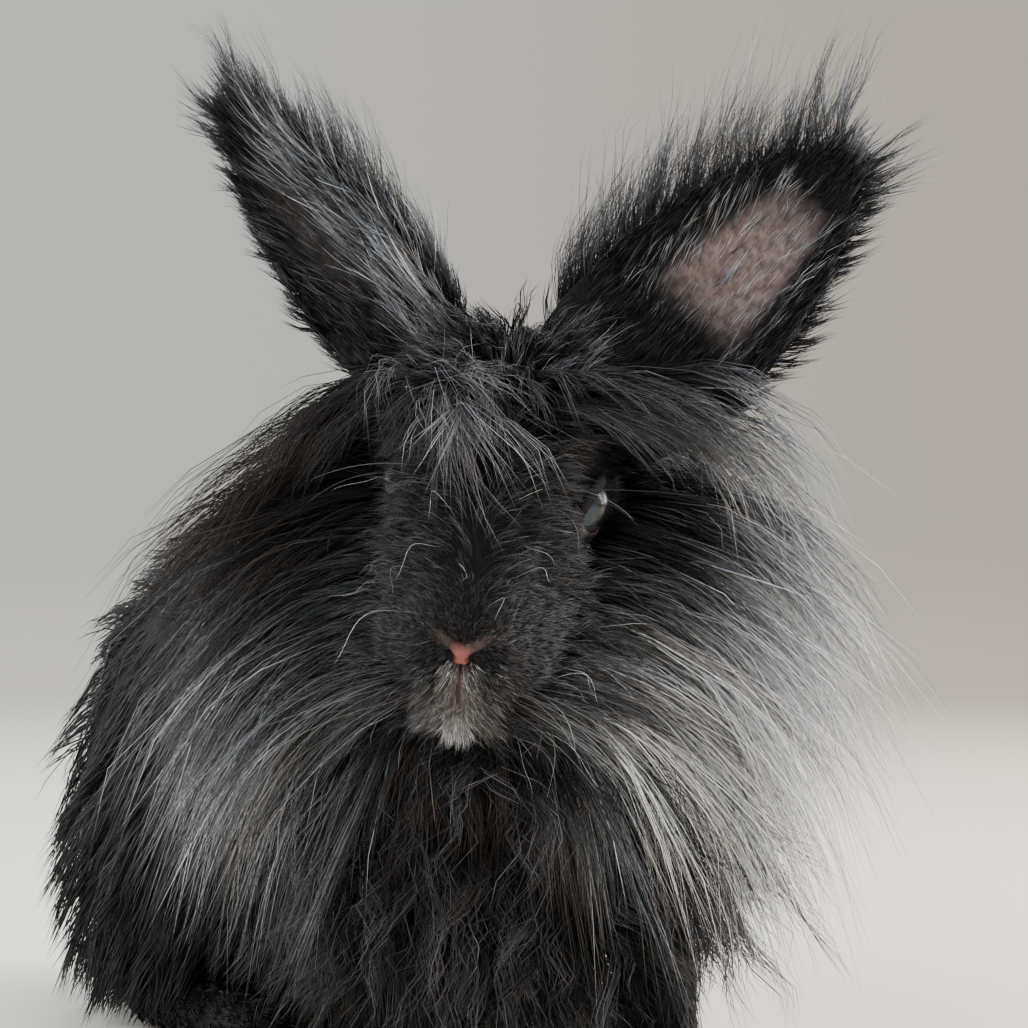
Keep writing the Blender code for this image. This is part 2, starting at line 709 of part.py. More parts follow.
def ear_solid(name, side, grow=0.0, filled=False):
    """An ear as a curved leaf with a cup, its root solid and its rim rounded."""
    spread = np.linspace(-1.0, 1.0, EAR_ACROSS)
    rows = []
    for share in np.linspace(0.0, 1.0, EAR_RINGS):
        across, depth, height = ear_leaf(side, share, spread, grow)
        height = np.full(EAR_ACROSS, height)
        open_share = 0.0 if filled else min(1.0, max(0.0, (share - EAR_OPENS) / EAR_OPENS_OVER))
        behind = np.stack([across, depth + EAR_WALL / 2 + grow, height], axis=-1)
        before = np.stack([across, open_share * depth - EAR_WALL / 2 - grow, height], axis=-1)
        rows.append(np.vstack([behind, before[::-1]]))
    root = rows[0].mean(axis=0)
    tip = rows[-1].mean(axis=0) + (0.0, 0.0, EAR_TIP_DOME + grow)
    ring = 2 * EAR_ACROSS
    count = EAR_RINGS * ring
    points = from_ear(side, np.vstack([*rows, [root], [tip]]))
    return facing_out(mesh_object(name, points, ring_faces(EAR_RINGS, ring, count, count + 1)))


def ear_block(name, side, start):
    """All the room around an ear from a distance above its root outwards."""
    sides = (-EAR_BLOCK, EAR_BLOCK)
    corners = [(x, y, z) for x in sides for y in sides for z in (start, start + FAR)]
    return facing_out(mesh_object(name, from_ear(side, corners), BOX_FACES))


def eye_place(side):
    """The middle of one eyeball, over the floor."""
    return from_head(mirrored(EYE_CENTRE, side))


def head_axes():
    """The head's sideways, back and up as seen from above, without its roll and nod."""
    return np.array(Matrix.Rotation(math.radians(HEAD_YAW), 3, "Z"))


def head_locks(draw):
    """The mane that grows on the head: bangs, temples, cheeks, jaw, forelock, crown and beard."""
    skin, axes = head_loft(), head_axes()

    def bend(points):
        return bend_out_of(points, HEAD_CUT, LOCK_MARGIN)

    made = []
    for side in (1, -1):
        for locks in HEAD_LOCKS:
            made += field(skin, locks, side, axes, draw, bend, RIGHT_EASE if side < 0 else 1.0)
    for locks in (FORELOCK, CROWN_TUFTS, BEARD):
        made += field(skin, locks, 1, axes, draw, bend)
    return made


def head_ball(name, centre, radii, tilt=0.0, rings=6, around=12):
    """An egg-shaped mesh set in the head's own frame, tilted about the way the face looks."""
    made = ball(name, (0, 0, 0), radii, rings, around)
    turn = np.array(Matrix.Rotation(math.radians(tilt), 3, "Y"))
    points = np.array([v.co for v in made.data.vertices]) / MM
    placed = from_head(points @ turn.T + np.asarray(centre)) * MM
    made.data.vertices.foreach_set("co", placed.ravel())
    return facing_out(made)


def lid_ring(side):
    """The raised almond of the lids, round the front of an eyeball."""
    sign = 1.0 if side == "left" else -1.0
    around, sides = 14, 6
    turn = np.array(Matrix.Rotation(math.radians(sign * LID_TURN), 3, "Z"))
    angles = np.linspace(0.0, 2 * math.pi, around, endpoint=False)
    tube_angles = np.linspace(0.0, 2 * math.pi, sides, endpoint=False)
    spread = LID_THICKNESS * np.cos(tube_angles)
    lift = LID_THICKNESS * np.sin(tube_angles)
    y = np.outer(np.cos(angles), LID_SIZE[0] + spread)
    z = np.outer(np.sin(angles), LID_SIZE[1] + spread)
    x = np.broadcast_to(LID_OUT + lift, y.shape)
    points = np.stack([sign * x, y, z], axis=-1).reshape(-1, 3) @ turn.T + mirrored(EYE_CENTRE, side)
    faces = []
    for i in range(around):
        for k in range(sides):
            a, b = i * sides + k, i * sides + (k + 1) % sides
            c, d = (a + sides) % (around * sides), (b + sides) % (around * sides)
            faces += [(a, b, d), (a, d, c)]
    return facing_out(mesh_object("lids", from_head(points), faces))


def mouth_tube(side, step, radius):
    """A thin tube along the line of the mouth, a step of the angle above or below it."""
    sign = 1.0 if side == "left" else -1.0
    angles = np.radians([sign * (angle + step) for angle in MOUTH_ANGLES])
    points, _ = head_loft().at(np.array(MOUTH_ALONG), angles)
    return facing_out(tube("mouth", points, [(radius, radius)] * len(points), 7, 6))


def face_ridges():
    """What stands out on the face: lids, nose and lips."""
    made = [head_ball("nose", NOSE_CENTRE, NOSE_SIZE)]
    for side in ("left", "right"):
        made.append(lid_ring(side))
        made += [mouth_tube(side, -LIP_STEP, LIP_THICKNESS), mouth_tube(side, LIP_STEP, LIP_THICKNESS)]
    return made


def face_grooves():
    """What is cut into the face: nostrils, the slit under the nose and the line of the mouth."""
    made = [head_ball("philtrum", PHILTRUM_CENTRE, PHILTRUM_SIZE)]
    for side, sign in (("left", 1.0), ("right", -1.0)):
        centre = mirrored(NOSTRIL_CENTRE, side)
        made.append(head_ball("nostril", centre, NOSTRIL_SIZE, -sign * NOSTRIL_TILT, 6, 8))
        made.append(mouth_tube(side, 0.0, MOUTH_LINE))
    return made


def head_node(whole, draw):
    """Face and skull, with the sockets, cut from the flesh and from the ears."""
    head = copy_of(whole, "head")
    additions = []
    for side in ("left", "right"):
        additions.append(ear_solid("stub", side))
        additions.append(head_ball("cheek", mirrored(CHEEK_CENTRE, side), CHEEK_RADII, 0.0, 7, 14))
    additions += face_ridges() + head_locks(draw)
    combine(head, additions, "UNION")
    cutters = [cone_solid("behind", HEAD_CUT, -GAP / 2)] + face_grooves()
    for side in ("left", "right"):
        ear = ear_solid("ear_room", side, GAP, filled=True)
        combine(ear, [ear_block("beyond", side, EAR_CUT - GAP / 2)], "INTERSECT")
        cutters.append(ear)
        cutters.append(ball("socket", eye_place(side), (EYE_RADIUS + GAP,) * 3, 7, 14))
    combine(head, cutters, "DIFFERENCE")
    return merge_slivers(keep_largest(head))


def neck_locks(draw):
    """The ruff behind the head, between the two cones."""

    def bend(points):
        return above_floor(bend_out_of(bend_into(points, HEAD_CUT, LOCK_MARGIN), NECK_CUT, LOCK_MARGIN))

    made = []
    for side in (1, -1):
        for locks in NECK_LOCKS:
            made += field(neck_loft(), locks, side, np.eye(3), draw, bend)
        made += field(torso_loft(), THROAT_LOCKS, side, np.eye(3), draw, bend)
    return made


def neck_node(whole, draw):
    """The flesh and ruff between the two cones."""
    neck = copy_of(whole, "neck")
    combine(neck, neck_locks(draw), "UNION")
    combine(neck, [cone_solid("keep", HEAD_CUT, GAP / 2)], "INTERSECT")
    combine(neck, [cone_solid("behind", NECK_CUT, -GAP / 2)], "DIFFERENCE")
    return merge_slivers(keep_largest(neck))


def leg_zone(side, grow):
    """The room of a hind leg: an oval bar round the thigh and the foot's own shape."""
    sign = 1.0 if side == "left" else -1.0
    inner = THIGH_CUT_DEPTH - grow
    span = sorted((sign * inner, sign * FAR / 2))
    zone = prism("thigh_room", THIGH_CENTRE[1:], THIGH_CUT_RADII, span, grow)
    return combine(zone, [foot(side, FOOT_ROOM + grow)], "UNION")


def bib_locks(draw):
    """The long coat of the chest, behind the neck's cone and off the floor."""

    def bend(points):
        return above_floor(bend_into(points, NECK_CUT, LOCK_MARGIN))

    skin = torso_loft()
    made = []
    for side in (1, -1):
        for locks in BIB_LOCKS:
            made += field(skin, locks, side, np.eye(3), draw, bend)
    return made


def torso_node(whole, draw):
    """The trunk behind the neck's cone, without legs."""
    torso = copy_of(whole, "torso")
    combine(torso, bib_locks(draw), "UNION")
    combine(torso, [cone_solid("keep", NECK_CUT, GAP / 2)], "INTERSECT")
    cutters = []
    for side in ("left", "right"):
        cutters.append(leg_zone(side, GAP / 2))
        limb = arm(side, GAP)
        combine(limb, [box("below", (-FAR, -FAR, -FAR), (FAR, FAR, ARM_CUT_HEIGHT + GAP / 2))], "INTERSECT")
        cutters.append(limb)
    combine(torso, cutters, "DIFFERENCE")
    return merge_slivers(keep_largest(torso))


def hind_leg_node(whole, side):
    """A haunch with its long foot."""
    leg = copy_of(whole, f"hind_leg_{side}")
    combine(leg, [leg_zone(side, -GAP / 2)], "INTERSECT")
    combine(leg, [cone_solid("front", NECK_CUT, GAP / 2)], "INTERSECT")
    return keep_largest(leg)


def foreleg_node(side):
    """A foreleg below the elbow, with its paw."""
    limb = arm(side)
    limb.name = f"foreleg_{side}"
    combine(limb, [box("below", (-FAR, -FAR, -FAR), (FAR, FAR, ARM_CUT_HEIGHT - GAP / 2))], "INTERSECT")
    return keep_largest(limb)


def ear_fringe(side, draw):
    """Fringe locks that leave an ear's edges and its tip, leaning towards the tip."""
    inner = -1.0 if side == "left" else 1.0
    edges = ((inner, INNER_FRINGE), (-inner, OUTER_FRINGE), (inner, TIP_TUFT), (-inner, TIP_TUFT))
    turn = ear_turn(side)
    made = []
    for edge, fringe in edges:
        for share in spread_over(*fringe.along, fringe.count):
            root = from_ear(side, [ear_leaf(side, share, FRINGE_EDGE * edge)])[0]
            out = turn @ unit((edge, 0.0, FRINGE_RISE))
            start = (edge * fringe.outwards, draw.uniform(*FRINGE_LEAN), FRINGE_START_UP)
            end = (edge * fringe.end_outwards, draw.uniform(*FRINGE_END_LEAN), 1.0)
            start, end = turn @ unit(start), turn @ unit(end)
            length = fringe.length * draw.uniform(*FRINGE_SPREAD)
            face = turn @ np.array((FRINGE_FACE * edge, 1.0, 0.0))
            made.append(lock(root, out, start, end, length, fringe.width, face=face))
    return made


def ear_node(side, draw):
    """An ear beyond the cut at its root."""
    ear = ear_solid(f"ear_{side}", side)
    combine(ear, ear_fringe(side, draw), "UNION")
    combine(ear, [ear_block("beyond", side, EAR_CUT + GAP / 2)], "INTERSECT")
    return merge_slivers(keep_largest(ear))


def tail_loft():
    """The core of the tail's tuft."""
    x, y, z = TAIL_CENTRE
    wide, long, high = TAIL_RADII
    steps = np.cos(math.pi * np.linspace(*TAIL_ENDS, 6))
    swells = np.sqrt(1 - steps**2)
    rows = [(y + long * c, wide * s, z + high * s, z, z - high * s) for c, s in zip(steps, swells)]
    return Loft(rows, ((y - long, z), (y + long, z)), 6, 12)


def tail_node(draw):
    """The short tail, clear of the rump."""
    skin = tail_loft()
    tail = facing_out(skin.solid("tail"))
    tufts = []
    for side in (1, -1):
        tufts += field(skin, TAIL_LOCKS, side, np.eye(3), draw, above_floor)
    combine(tail, tufts, "UNION")
    combine(tail, [facing_out(torso_loft().solid("rump", GAP))], "DIFFERENCE")
    return keep_largest(tail)


def rest_on_origin(nodes):
    """Set the whole over the origin: the middle of its box in x and y, and its lowest flat at zero."""
    corners = np.array([v.co for node in nodes for v in node.data.vertices])
    middle = (corners.min(axis=0) + corners.max(axis=0)) / 2
    shift = Matrix.Translation((-middle[0], -middle[1], -corners[:, 2].min()))
    for node in nodes:
        node.data.transform(shift)


def build():
    """Make every node."""
    clear_scene()
    whole = flesh()
    draw = np.random.default_rng(LOCK_SEED)
    nodes = [
        head_node(whole, draw),
        neck_node(whole, draw),
        torso_node(whole, draw),
        tail_node(draw),
    ]
    for side in ("left", "right"):
        nodes.append(hind_leg_node(whole, side))
        nodes.append(foreleg_node(side))
        nodes.append(ear_node(side, draw))
        eye = facing_out(ball(f"eye_{side}", eye_place(side), (EYE_RADIUS,) * 3, 7, 14))
        nodes.append(eye)
    bpy.data.objects.remove(whole)
    finishes = {"eye": "eye", "ear": "ear", "tail": "tail", "neck": "mane"}
    for node in nodes:
        kind = finishes.get(node.name.split("_")[0], "coat")
        node.data.materials.clear()
        node.data.materials.append(material(kind, WET if kind == "eye" else DULL))
        node.data.shade_smooth()
        node.data.set_sharp_from_angle(angle=math.radians(SHARP_ANGLE))
    rest_on_origin(nodes)


build()
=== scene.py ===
"""Looks of the lionhead rabbit: one skin, its coat in tufts and locks, eyes, lids, nose, whiskers and claws.

Lengths are millimetres in the animal's own directions: it faces -Y, its left is +X and the floor is Z = 0.
Meshes are made in metres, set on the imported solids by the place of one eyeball.
"""

import logging
import math
from collections.abc import Callable
from dataclasses import dataclass, field
from enum import Enum

import bpy
import numpy as np
from mathutils import Matrix, Vector
from mathutils.bvhtree import BVHTree
from mathutils.kdtree import KDTree


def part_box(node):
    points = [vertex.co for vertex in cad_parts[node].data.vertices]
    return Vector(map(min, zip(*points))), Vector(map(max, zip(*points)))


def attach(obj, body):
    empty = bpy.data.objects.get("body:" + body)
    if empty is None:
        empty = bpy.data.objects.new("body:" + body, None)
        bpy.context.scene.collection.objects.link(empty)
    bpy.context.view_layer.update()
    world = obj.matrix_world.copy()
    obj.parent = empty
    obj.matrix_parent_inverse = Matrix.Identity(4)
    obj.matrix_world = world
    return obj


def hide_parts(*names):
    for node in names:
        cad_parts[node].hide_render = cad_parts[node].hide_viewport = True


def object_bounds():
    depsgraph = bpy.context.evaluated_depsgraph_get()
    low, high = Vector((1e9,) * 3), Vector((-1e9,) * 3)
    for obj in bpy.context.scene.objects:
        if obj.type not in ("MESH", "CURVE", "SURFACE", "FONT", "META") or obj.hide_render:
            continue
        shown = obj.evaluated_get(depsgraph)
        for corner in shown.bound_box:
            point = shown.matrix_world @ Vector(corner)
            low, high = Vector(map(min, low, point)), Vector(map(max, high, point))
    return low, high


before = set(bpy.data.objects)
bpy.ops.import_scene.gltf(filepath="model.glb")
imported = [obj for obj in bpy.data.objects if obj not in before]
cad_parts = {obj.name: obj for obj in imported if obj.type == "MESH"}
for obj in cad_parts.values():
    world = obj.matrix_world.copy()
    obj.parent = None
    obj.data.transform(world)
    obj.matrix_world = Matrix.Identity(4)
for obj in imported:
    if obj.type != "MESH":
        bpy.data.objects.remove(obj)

Array = np.ndarray
Colour = tuple[float, float, float]
Object = bpy.types.Object
Mesh = bpy.types.Mesh
Material = bpy.types.Material
Node = bpy.types.Node
Socket = bpy.types.NodeSocket

logging.basicConfig(level=logging.INFO, format="%(message)s")
LOG = logging.getLogger("rabbit")

CAD_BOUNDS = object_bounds()
MM = 0.001
FULL_TURN = 2.0 * math.pi
SEED = 5
COLOUR_LAYER = "coat_colour"
BAKE_LAYER = "OFBake"
PATCH_SIZE = 0.003
BODY = "root"


class Slot(Enum):
    """Kinds of finish, one to a piece of the animal."""

    COAT = "coat"
    MANE = "mane"
    EAR = "ear"
    TAIL = "tail"
    EYE = "eye"
    LEATHER = "leather"
    LID = "lid"
    CLAW = "claw"
    WHISKER = "whisker"


class Side(Enum):
    """The animal's own sides, with the sign of x on each."""

    LEFT = 1.0
    RIGHT = -1.0

    @property
    def word(self) -> str:
        """The side's name in a piece's name."""
        return self.name.lower()

    def mirrored(self, point: tuple) -> Array:
        """A point given for the left side, moved to this one."""
        return np.array((self.value * point[0], *point[1:]), float)


def turn_about(axis: str, degrees: float) -> Array:
    """A turn about one axis, as a 3x3 array."""
    return np.array(Matrix.Rotation(math.radians(degrees), 3, axis))


def unit(vectors: Array) -> Array:
    """Vectors at length one, along the last axis."""
    vectors = np.asarray(vectors, float)
    return vectors / np.maximum(np.linalg.norm(vectors, axis=-1, keepdims=True), 1e-9)


def stacked(count: int, *values: float | Array) -> Array:
    """Single numbers and lists of them, side by side as the columns of a table of count rows."""
    return np.stack([np.broadcast_to(np.asarray(value, float), (count,)) for value in values], axis=-1)


def smoothstep(low: float, high: float, value: Array) -> Array:
    """Zero below low, one above high, and 3t^2 - 2t^3 between them."""
    t = np.clip((np.asarray(value, float) - low) / (high - low), 0.0, 1.0)
    return t * t * (3.0 - 2.0 * t)


def smooth_rows(rows: tuple, steps: int) -> Array:
    """Read a table's columns along a Catmull-Rom curve at evenly spread places."""
    table = np.asarray(rows, float)
    ends = np.vstack([2 * table[0] - table[1], table, 2 * table[-1] - table[-2]])
    places = np.linspace(0.0, len(table) - 1.0, steps)
    first = np.minimum(places.astype(int), len(table) - 2)
    t = (places - first)[:, None]
    a, b, c, d = (ends[first + k] for k in range(4))
    return 0.5 * (2 * b + (c - a) * t + (2 * a - 5 * b + 4 * c - d) * t**2 + (3 * b - a - 3 * c + d) * t**3)


# The head: where the middle between the eyes stands and how the head is turned
EYE_MIDDLE = np.array((-24.0, -115.0, 148.0))
HEAD_YAW = -28.0
HEAD_ROLL = 7.5
HEAD_PITCH = 28.0
HEAD_TURN = turn_about("Z", HEAD_YAW) @ turn_about("Y", HEAD_ROLL) @ turn_about("X", HEAD_PITCH)
HEAD_AXES = turn_about("Z", HEAD_YAW)
EYE_CENTRE = (18.4, 0.0, 0.5)
EYE_RADIUS = 8.2
BEFORE_FACE = -90.0  # a plane in front of the nose, in the head's frame


def from_head(points: Array) -> Array:
    """Points in the head's own frame, as points over the floor."""
    return np.asarray(points, float) @ HEAD_TURN.T + EYE_MIDDLE


def to_head(points: Array) -> Array:
    """Points over the floor, in the head's own frame."""
    return (np.asarray(points, float) - EYE_MIDDLE) @ HEAD_TURN


def solid_shift() -> Array:
    """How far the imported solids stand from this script's directions, in millimetres."""
    low, high = (np.array(corner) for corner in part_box("eye_left"))
    return (low + high) / 2 / MM - from_head(EYE_CENTRE)


SHIFT = solid_shift()


def to_world(points: Array) -> Array:
    """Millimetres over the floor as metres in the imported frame."""
    return (np.asarray(points, float) + SHIFT) * MM


@dataclass
class Bump:
    """A soft swelling or hollow on the head's skin, with its mirror image on the other side."""

    centre: tuple[float, float, float]
    spread: float
    height: float


@dataclass
class Rings:
    """A closed skin of upright ovals along a line.

    A point is centre + side * sin(angle) + (up or down) * cos(angle), the sine and cosine raised to the
    squareness, with the ovals' own values read evenly between them along the line.
    """

    centres: Array
    sides: Array
    ups: Array
    downs: Array
    first: Array
    last: Array
    squareness: float = 1.0
    bumps: tuple[Bump, ...] = ()
    flat: float | None = None

    @classmethod
    def loft(cls, stations: tuple, poles: tuple, inset: float, **more) -> "Rings":
        """Ovals from rows of y, half width, top, widest height and bottom, moved in everywhere by inset."""
        y, half, top, widest, bottom = smooth_rows(stations, 96).T
        none = np.zeros_like(y)
        return cls(
            centres=np.stack([none, y, widest], axis=-1),
            sides=np.stack([half - inset, none, none], axis=-1),
            ups=np.stack([none, none, top - widest - inset], axis=-1),
            downs=np.stack([none, none, widest - bottom - inset], axis=-1),
            first=np.array((0.0, poles[0][0] + inset, poles[0][1])),
            last=np.array((0.0, poles[1][0] - inset, poles[1][1])),
            **more,
        )

    @classmethod
    def tube(cls, path: tuple, radii: tuple, inset: float, flat: float | None = 0.0) -> "Rings":
        """Ovals along a smooth path, with domed ends, flat where it meets the floor."""
        steps = 48
        rows = smooth_rows(tuple((*p, *r) for p, r in zip(path, radii)), steps)
        centres = rows[:, :3]
        ahead = unit(np.gradient(centres, axis=0))
        side = unit(np.cross(ahead, (0.0, 0.0, 1.0)))
        up = np.cross(side, ahead)
        dome = np.sqrt(np.clip(1 - np.linspace(-1, 1, steps) ** 8, 0.16, 1.0))[:, None]
        high = up * (rows[:, 4:5] - inset) * dome
        reach = 0.45 * (rows[:, 4] - inset)
        first, last = centres[0] - ahead[0] * reach[0], centres[-1] + ahead[-1] * reach[-1]
        return cls(centres, side * (rows[:, 3:4] - inset) * dome, high, high, first, last, flat=flat)

    @classmethod
    def ball(cls, centre: tuple, radii: tuple, inset: float = 0.0) -> "Rings":
        """An egg along y."""
        turns = np.linspace(0.06, math.pi - 0.06, 40)
        wide, long, high = (r - inset for r in radii)
        none = np.zeros_like(turns)
        middle = np.asarray(centre, float)
        ups = np.stack([none, none, high * np.sin(turns)], axis=-1)
        return cls(
            centres=middle + np.stack([none, -long * np.cos(turns), none], axis=-1),
            sides=np.stack([wide * np.sin(turns), none, none], axis=-1),
            ups=ups,
            downs=ups,
            first=middle - (0.0, long, 0.0),
            last=middle + (0.0, long, 0.0),
        )

    def placed(self, turn: Array, origin: Array) -> "Rings":
        """The same skin, turned and moved."""
        self.centres = self.centres @ turn.T + origin
        self.sides, self.ups, self.downs = (part @ turn.T for part in (self.sides, self.ups, self.downs))
        self.first, self.last = self.first @ turn.T + origin, self.last @ turn.T + origin
        return self

    def read(self, along: Array, angle: Array) -> Array:
        """Points of the skin, along from 0 to 1 and at angles in radians from its top."""
        along, angle = np.broadcast_arrays(np.asarray(along, float), np.asarray(angle, float))
        place = np.clip(along, 0.0, 1.0) * (len(self.centres) - 1)
        low = np.minimum(place.astype(int), len(self.centres) - 2)
        part = (place - low)[..., None]
        centre, side, up, down = (
            rows[low] * (1 - part) + rows[low + 1] * part
            for rows in (self.centres, self.sides, self.ups, self.downs)
        )
        across, upright = np.sin(angle)[..., None], np.cos(angle)[..., None]
        across = np.sign(across) * np.abs(across) ** self.squareness
        lift = np.abs(upright) ** self.squareness
        offset = side * across + np.where(upright > 0, up * lift, -down * lift)
        points = centre + offset
        if self.bumps:
            points = points + unit(offset) * self.swelling(points)[..., None]
        if self.flat is not None:
            points[..., 2] = np.maximum(points[..., 2], self.flat)
        return points

    def swelling(self, points: Array) -> Array:
        """The sum of the bumps' bells at points on the head."""
        local = to_head(points)
        total = np.zeros(points.shape[:-1])
        for bump in self.bumps:
            for side in Side:
                away = local - side.mirrored(bump.centre)
                total += bump.height * np.exp(-np.sum(away**2, axis=-1) / (2 * bump.spread**2))
        return total

    def at(self, along: Array, angle: Array) -> tuple[Array, Array]:
        """Points and outward directions of the skin."""
        step = 0.01
        low, high = np.clip(along - step, 0, 1), np.clip(along + step, 0, 1)
        lengthways = self.read(high, angle) - self.read(low, angle)
        sideways = self.read(along, angle + step) - self.read(along, angle - step)
        return self.read(along, angle), unit(np.cross(sideways, lengthways))

    def shell(self, rings: int, around: int) -> tuple[Array, Array]:
        """The closed skin as points and triangles."""
        angles = np.linspace(0, FULL_TURN, around, False)
        along, angle = np.meshgrid(np.linspace(0, 1, rings), angles, indexing="ij")
        points = np.vstack([self.read(along, angle).reshape(-1, 3), self.first, self.last])
        if self.flat is not None:
            points[:, 2] = np.maximum(points[:, 2], self.flat)
        return outwards(points, closed_faces(rings, around))

    def scatter(self, count: int, draw: np.random.Generator, span: tuple, arc: tuple) -> tuple[Array, Array]:
        """Places spread evenly over the skin's area, in a span along it and an arc of degrees round it."""
        rows, columns = 60, 90
        along = np.linspace(*span, rows + 1)
        angle = np.radians(np.linspace(*arc, columns + 1))
        corners = self.read(along[:, None], angle[None, :])
        down, right = corners[1:, :-1] - corners[:-1, :-1], corners[:-1, 1:] - corners[:-1, :-1]
        area = np.linalg.norm(np.cross(down, right), axis=-1).ravel()
        pick = draw.choice(area.size, count, p=area / area.sum())
        row, column = np.divmod(pick, columns)
        along_step, angle_step = along[1] - along[0], angle[1] - angle[0]
        return (
            along[row] + draw.random(count) * along_step,
            angle[column] + draw.random(count) * angle_step,
        )


def closed_faces(rings: int, around: int) -> Array:
    """Triangles over rings of points, with a pole after them for each end."""
    ring, k = np.meshgrid(np.arange(rings - 1), np.arange(around), indexing="ij")
    a, b = ring * around + k, ring * around + (k + 1) % around
    c, d = a + around, b + around
    sides = np.stack([a, b, d, a, d, c], axis=-1).reshape(-1, 3)
    k = np.arange(around)
    after = (k + 1) % around
    pole = rings * around
    first = np.stack([np.full(around, pole), after, k], axis=-1)
    last = np.stack([np.full(around, pole + 1), k + pole - around, after + pole - around], axis=-1)
    return np.vstack([sides, first, last])


def torus_faces(around: int, section: int) -> Array:
    """Triangles of a closed band of section points carried round a ring."""
    ring, k = np.meshgrid(np.arange(around), np.arange(section), indexing="ij")
    a, b = ring * section + k, ring * section + (k + 1) % section
    c, d = (a + section) % (around * section), (b + section) % (around * section)
    return np.stack([a, b, d, a, d, c], axis=-1).reshape(-1, 3)


def outwards(points: Array, faces: Array) -> tuple[Array, Array]:
    """Turn a closed shell's triangles outwards, by the sign of its volume."""
    a, b, c = (points[faces[:, k]] for k in range(3))
    volume = np.sum(a * np.cross(b, c))
    return points, faces if volume > 0 else faces[:, ::-1]


def merged(shells: list[tuple[Array, Array]]) -> tuple[Array, Array]:
    """Several shells as one list of points and one of triangles."""
    counts = np.cumsum([0] + [len(points) for points, _ in shells])
    return (
        np.vstack([points for points, _ in shells]),
        np.vstack([faces + start for (_, faces), start in zip(shells, counts)]),
    )


def make_piece(
    name: str, points: Array, faces: Array, finish: Material | None, slot: Slot | None,
    colours: Array | None = None, unwrap: Array | None = None,
) -> Object:
    """A smooth mesh object at the origin from points in millimetres and triangles.

    Args:
        name: the piece's name.
        points: (n, 3) millimetres over the floor.
        faces: (m, 3) indices.
        finish: its material.
        slot: the kind of finish, or None for the stage; only whether it is None is read.
        colours: (n, 3) linear colours, one to a point.
        unwrap: (n, 2) places on the bake's map, one to a point.

    Returns:
        The object, which rides on the body unless it is part of the stage.
    """
    mesh = bpy.data.meshes.new(name)
    mesh.vertices.add(len(points))
    mesh.vertices.foreach_set("co", to_world(points).astype(np.float32).ravel())
    corners = np.ascontiguousarray(faces, dtype=np.int32).ravel()
    mesh.loops.add(len(corners))
    mesh.loops.foreach_set("vertex_index", corners)
    mesh.polygons.add(len(faces))
    mesh.polygons.foreach_set("loop_start", np.arange(0, len(corners), 3, dtype=np.int32))
    mesh.update(calc_edges=True)
    mesh.shade_smooth()
    if unwrap is not None:
        layer = mesh.uv_layers.new(name=BAKE_LAYER)
        layer.uv.foreach_set("vector", unwrap[corners].astype(np.float32).ravel())
    if colours is not None:
        paint(mesh, colours)
    if finish is not None:
        mesh.materials.append(finish)
    made = bpy.data.objects.new(name, mesh)
    bpy.context.scene.collection.objects.link(made)
    if slot is not None:
        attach(made, BODY)
        LOG.info("%s: %d triangles", name, len(faces))
    return made


def paint(mesh: Mesh, colours: Array) -> None:
    """Give each point of a mesh its own colour."""
    layer = mesh.color_attributes.new(name=COLOUR_LAYER, type="FLOAT_COLOR", domain="POINT")
    values = np.hstack([np.clip(colours, 0.0, 1.0), np.ones((len(colours), 1))])
    layer.data.foreach_set("color", values.astype(np.float32).ravel())


def applied(thing: Object) -> Object:
    """Apply all of an object's modifiers."""
    graph = bpy.context.evaluated_depsgraph_get()
    shaped = bpy.data.meshes.new_from_object(thing.evaluated_get(graph))
    thing.modifiers.clear()
    thing.data = shaped
    return thing


def mesh_arrays(mesh: Mesh) -> tuple[Array, Array, Array]:
    """A mesh's points in millimetres over the floor, its triangles and its points' outward directions."""
    mesh.calc_loop_triangles()
    points = np.empty(len(mesh.vertices) * 3, np.float32)
    mesh.vertices.foreach_get("co", points)
    faces = np.empty(len(mesh.loop_triangles) * 3, np.int32)
    mesh.loop_triangles.foreach_get("vertices", faces)
    normals = np.empty(len(mesh.vertices) * 3, np.float32)
    mesh.vertex_normals.foreach_get("vector", normals)
    return points.reshape(-1, 3) / MM - SHIFT, faces.reshape(-1, 3), normals.reshape(-1, 3)


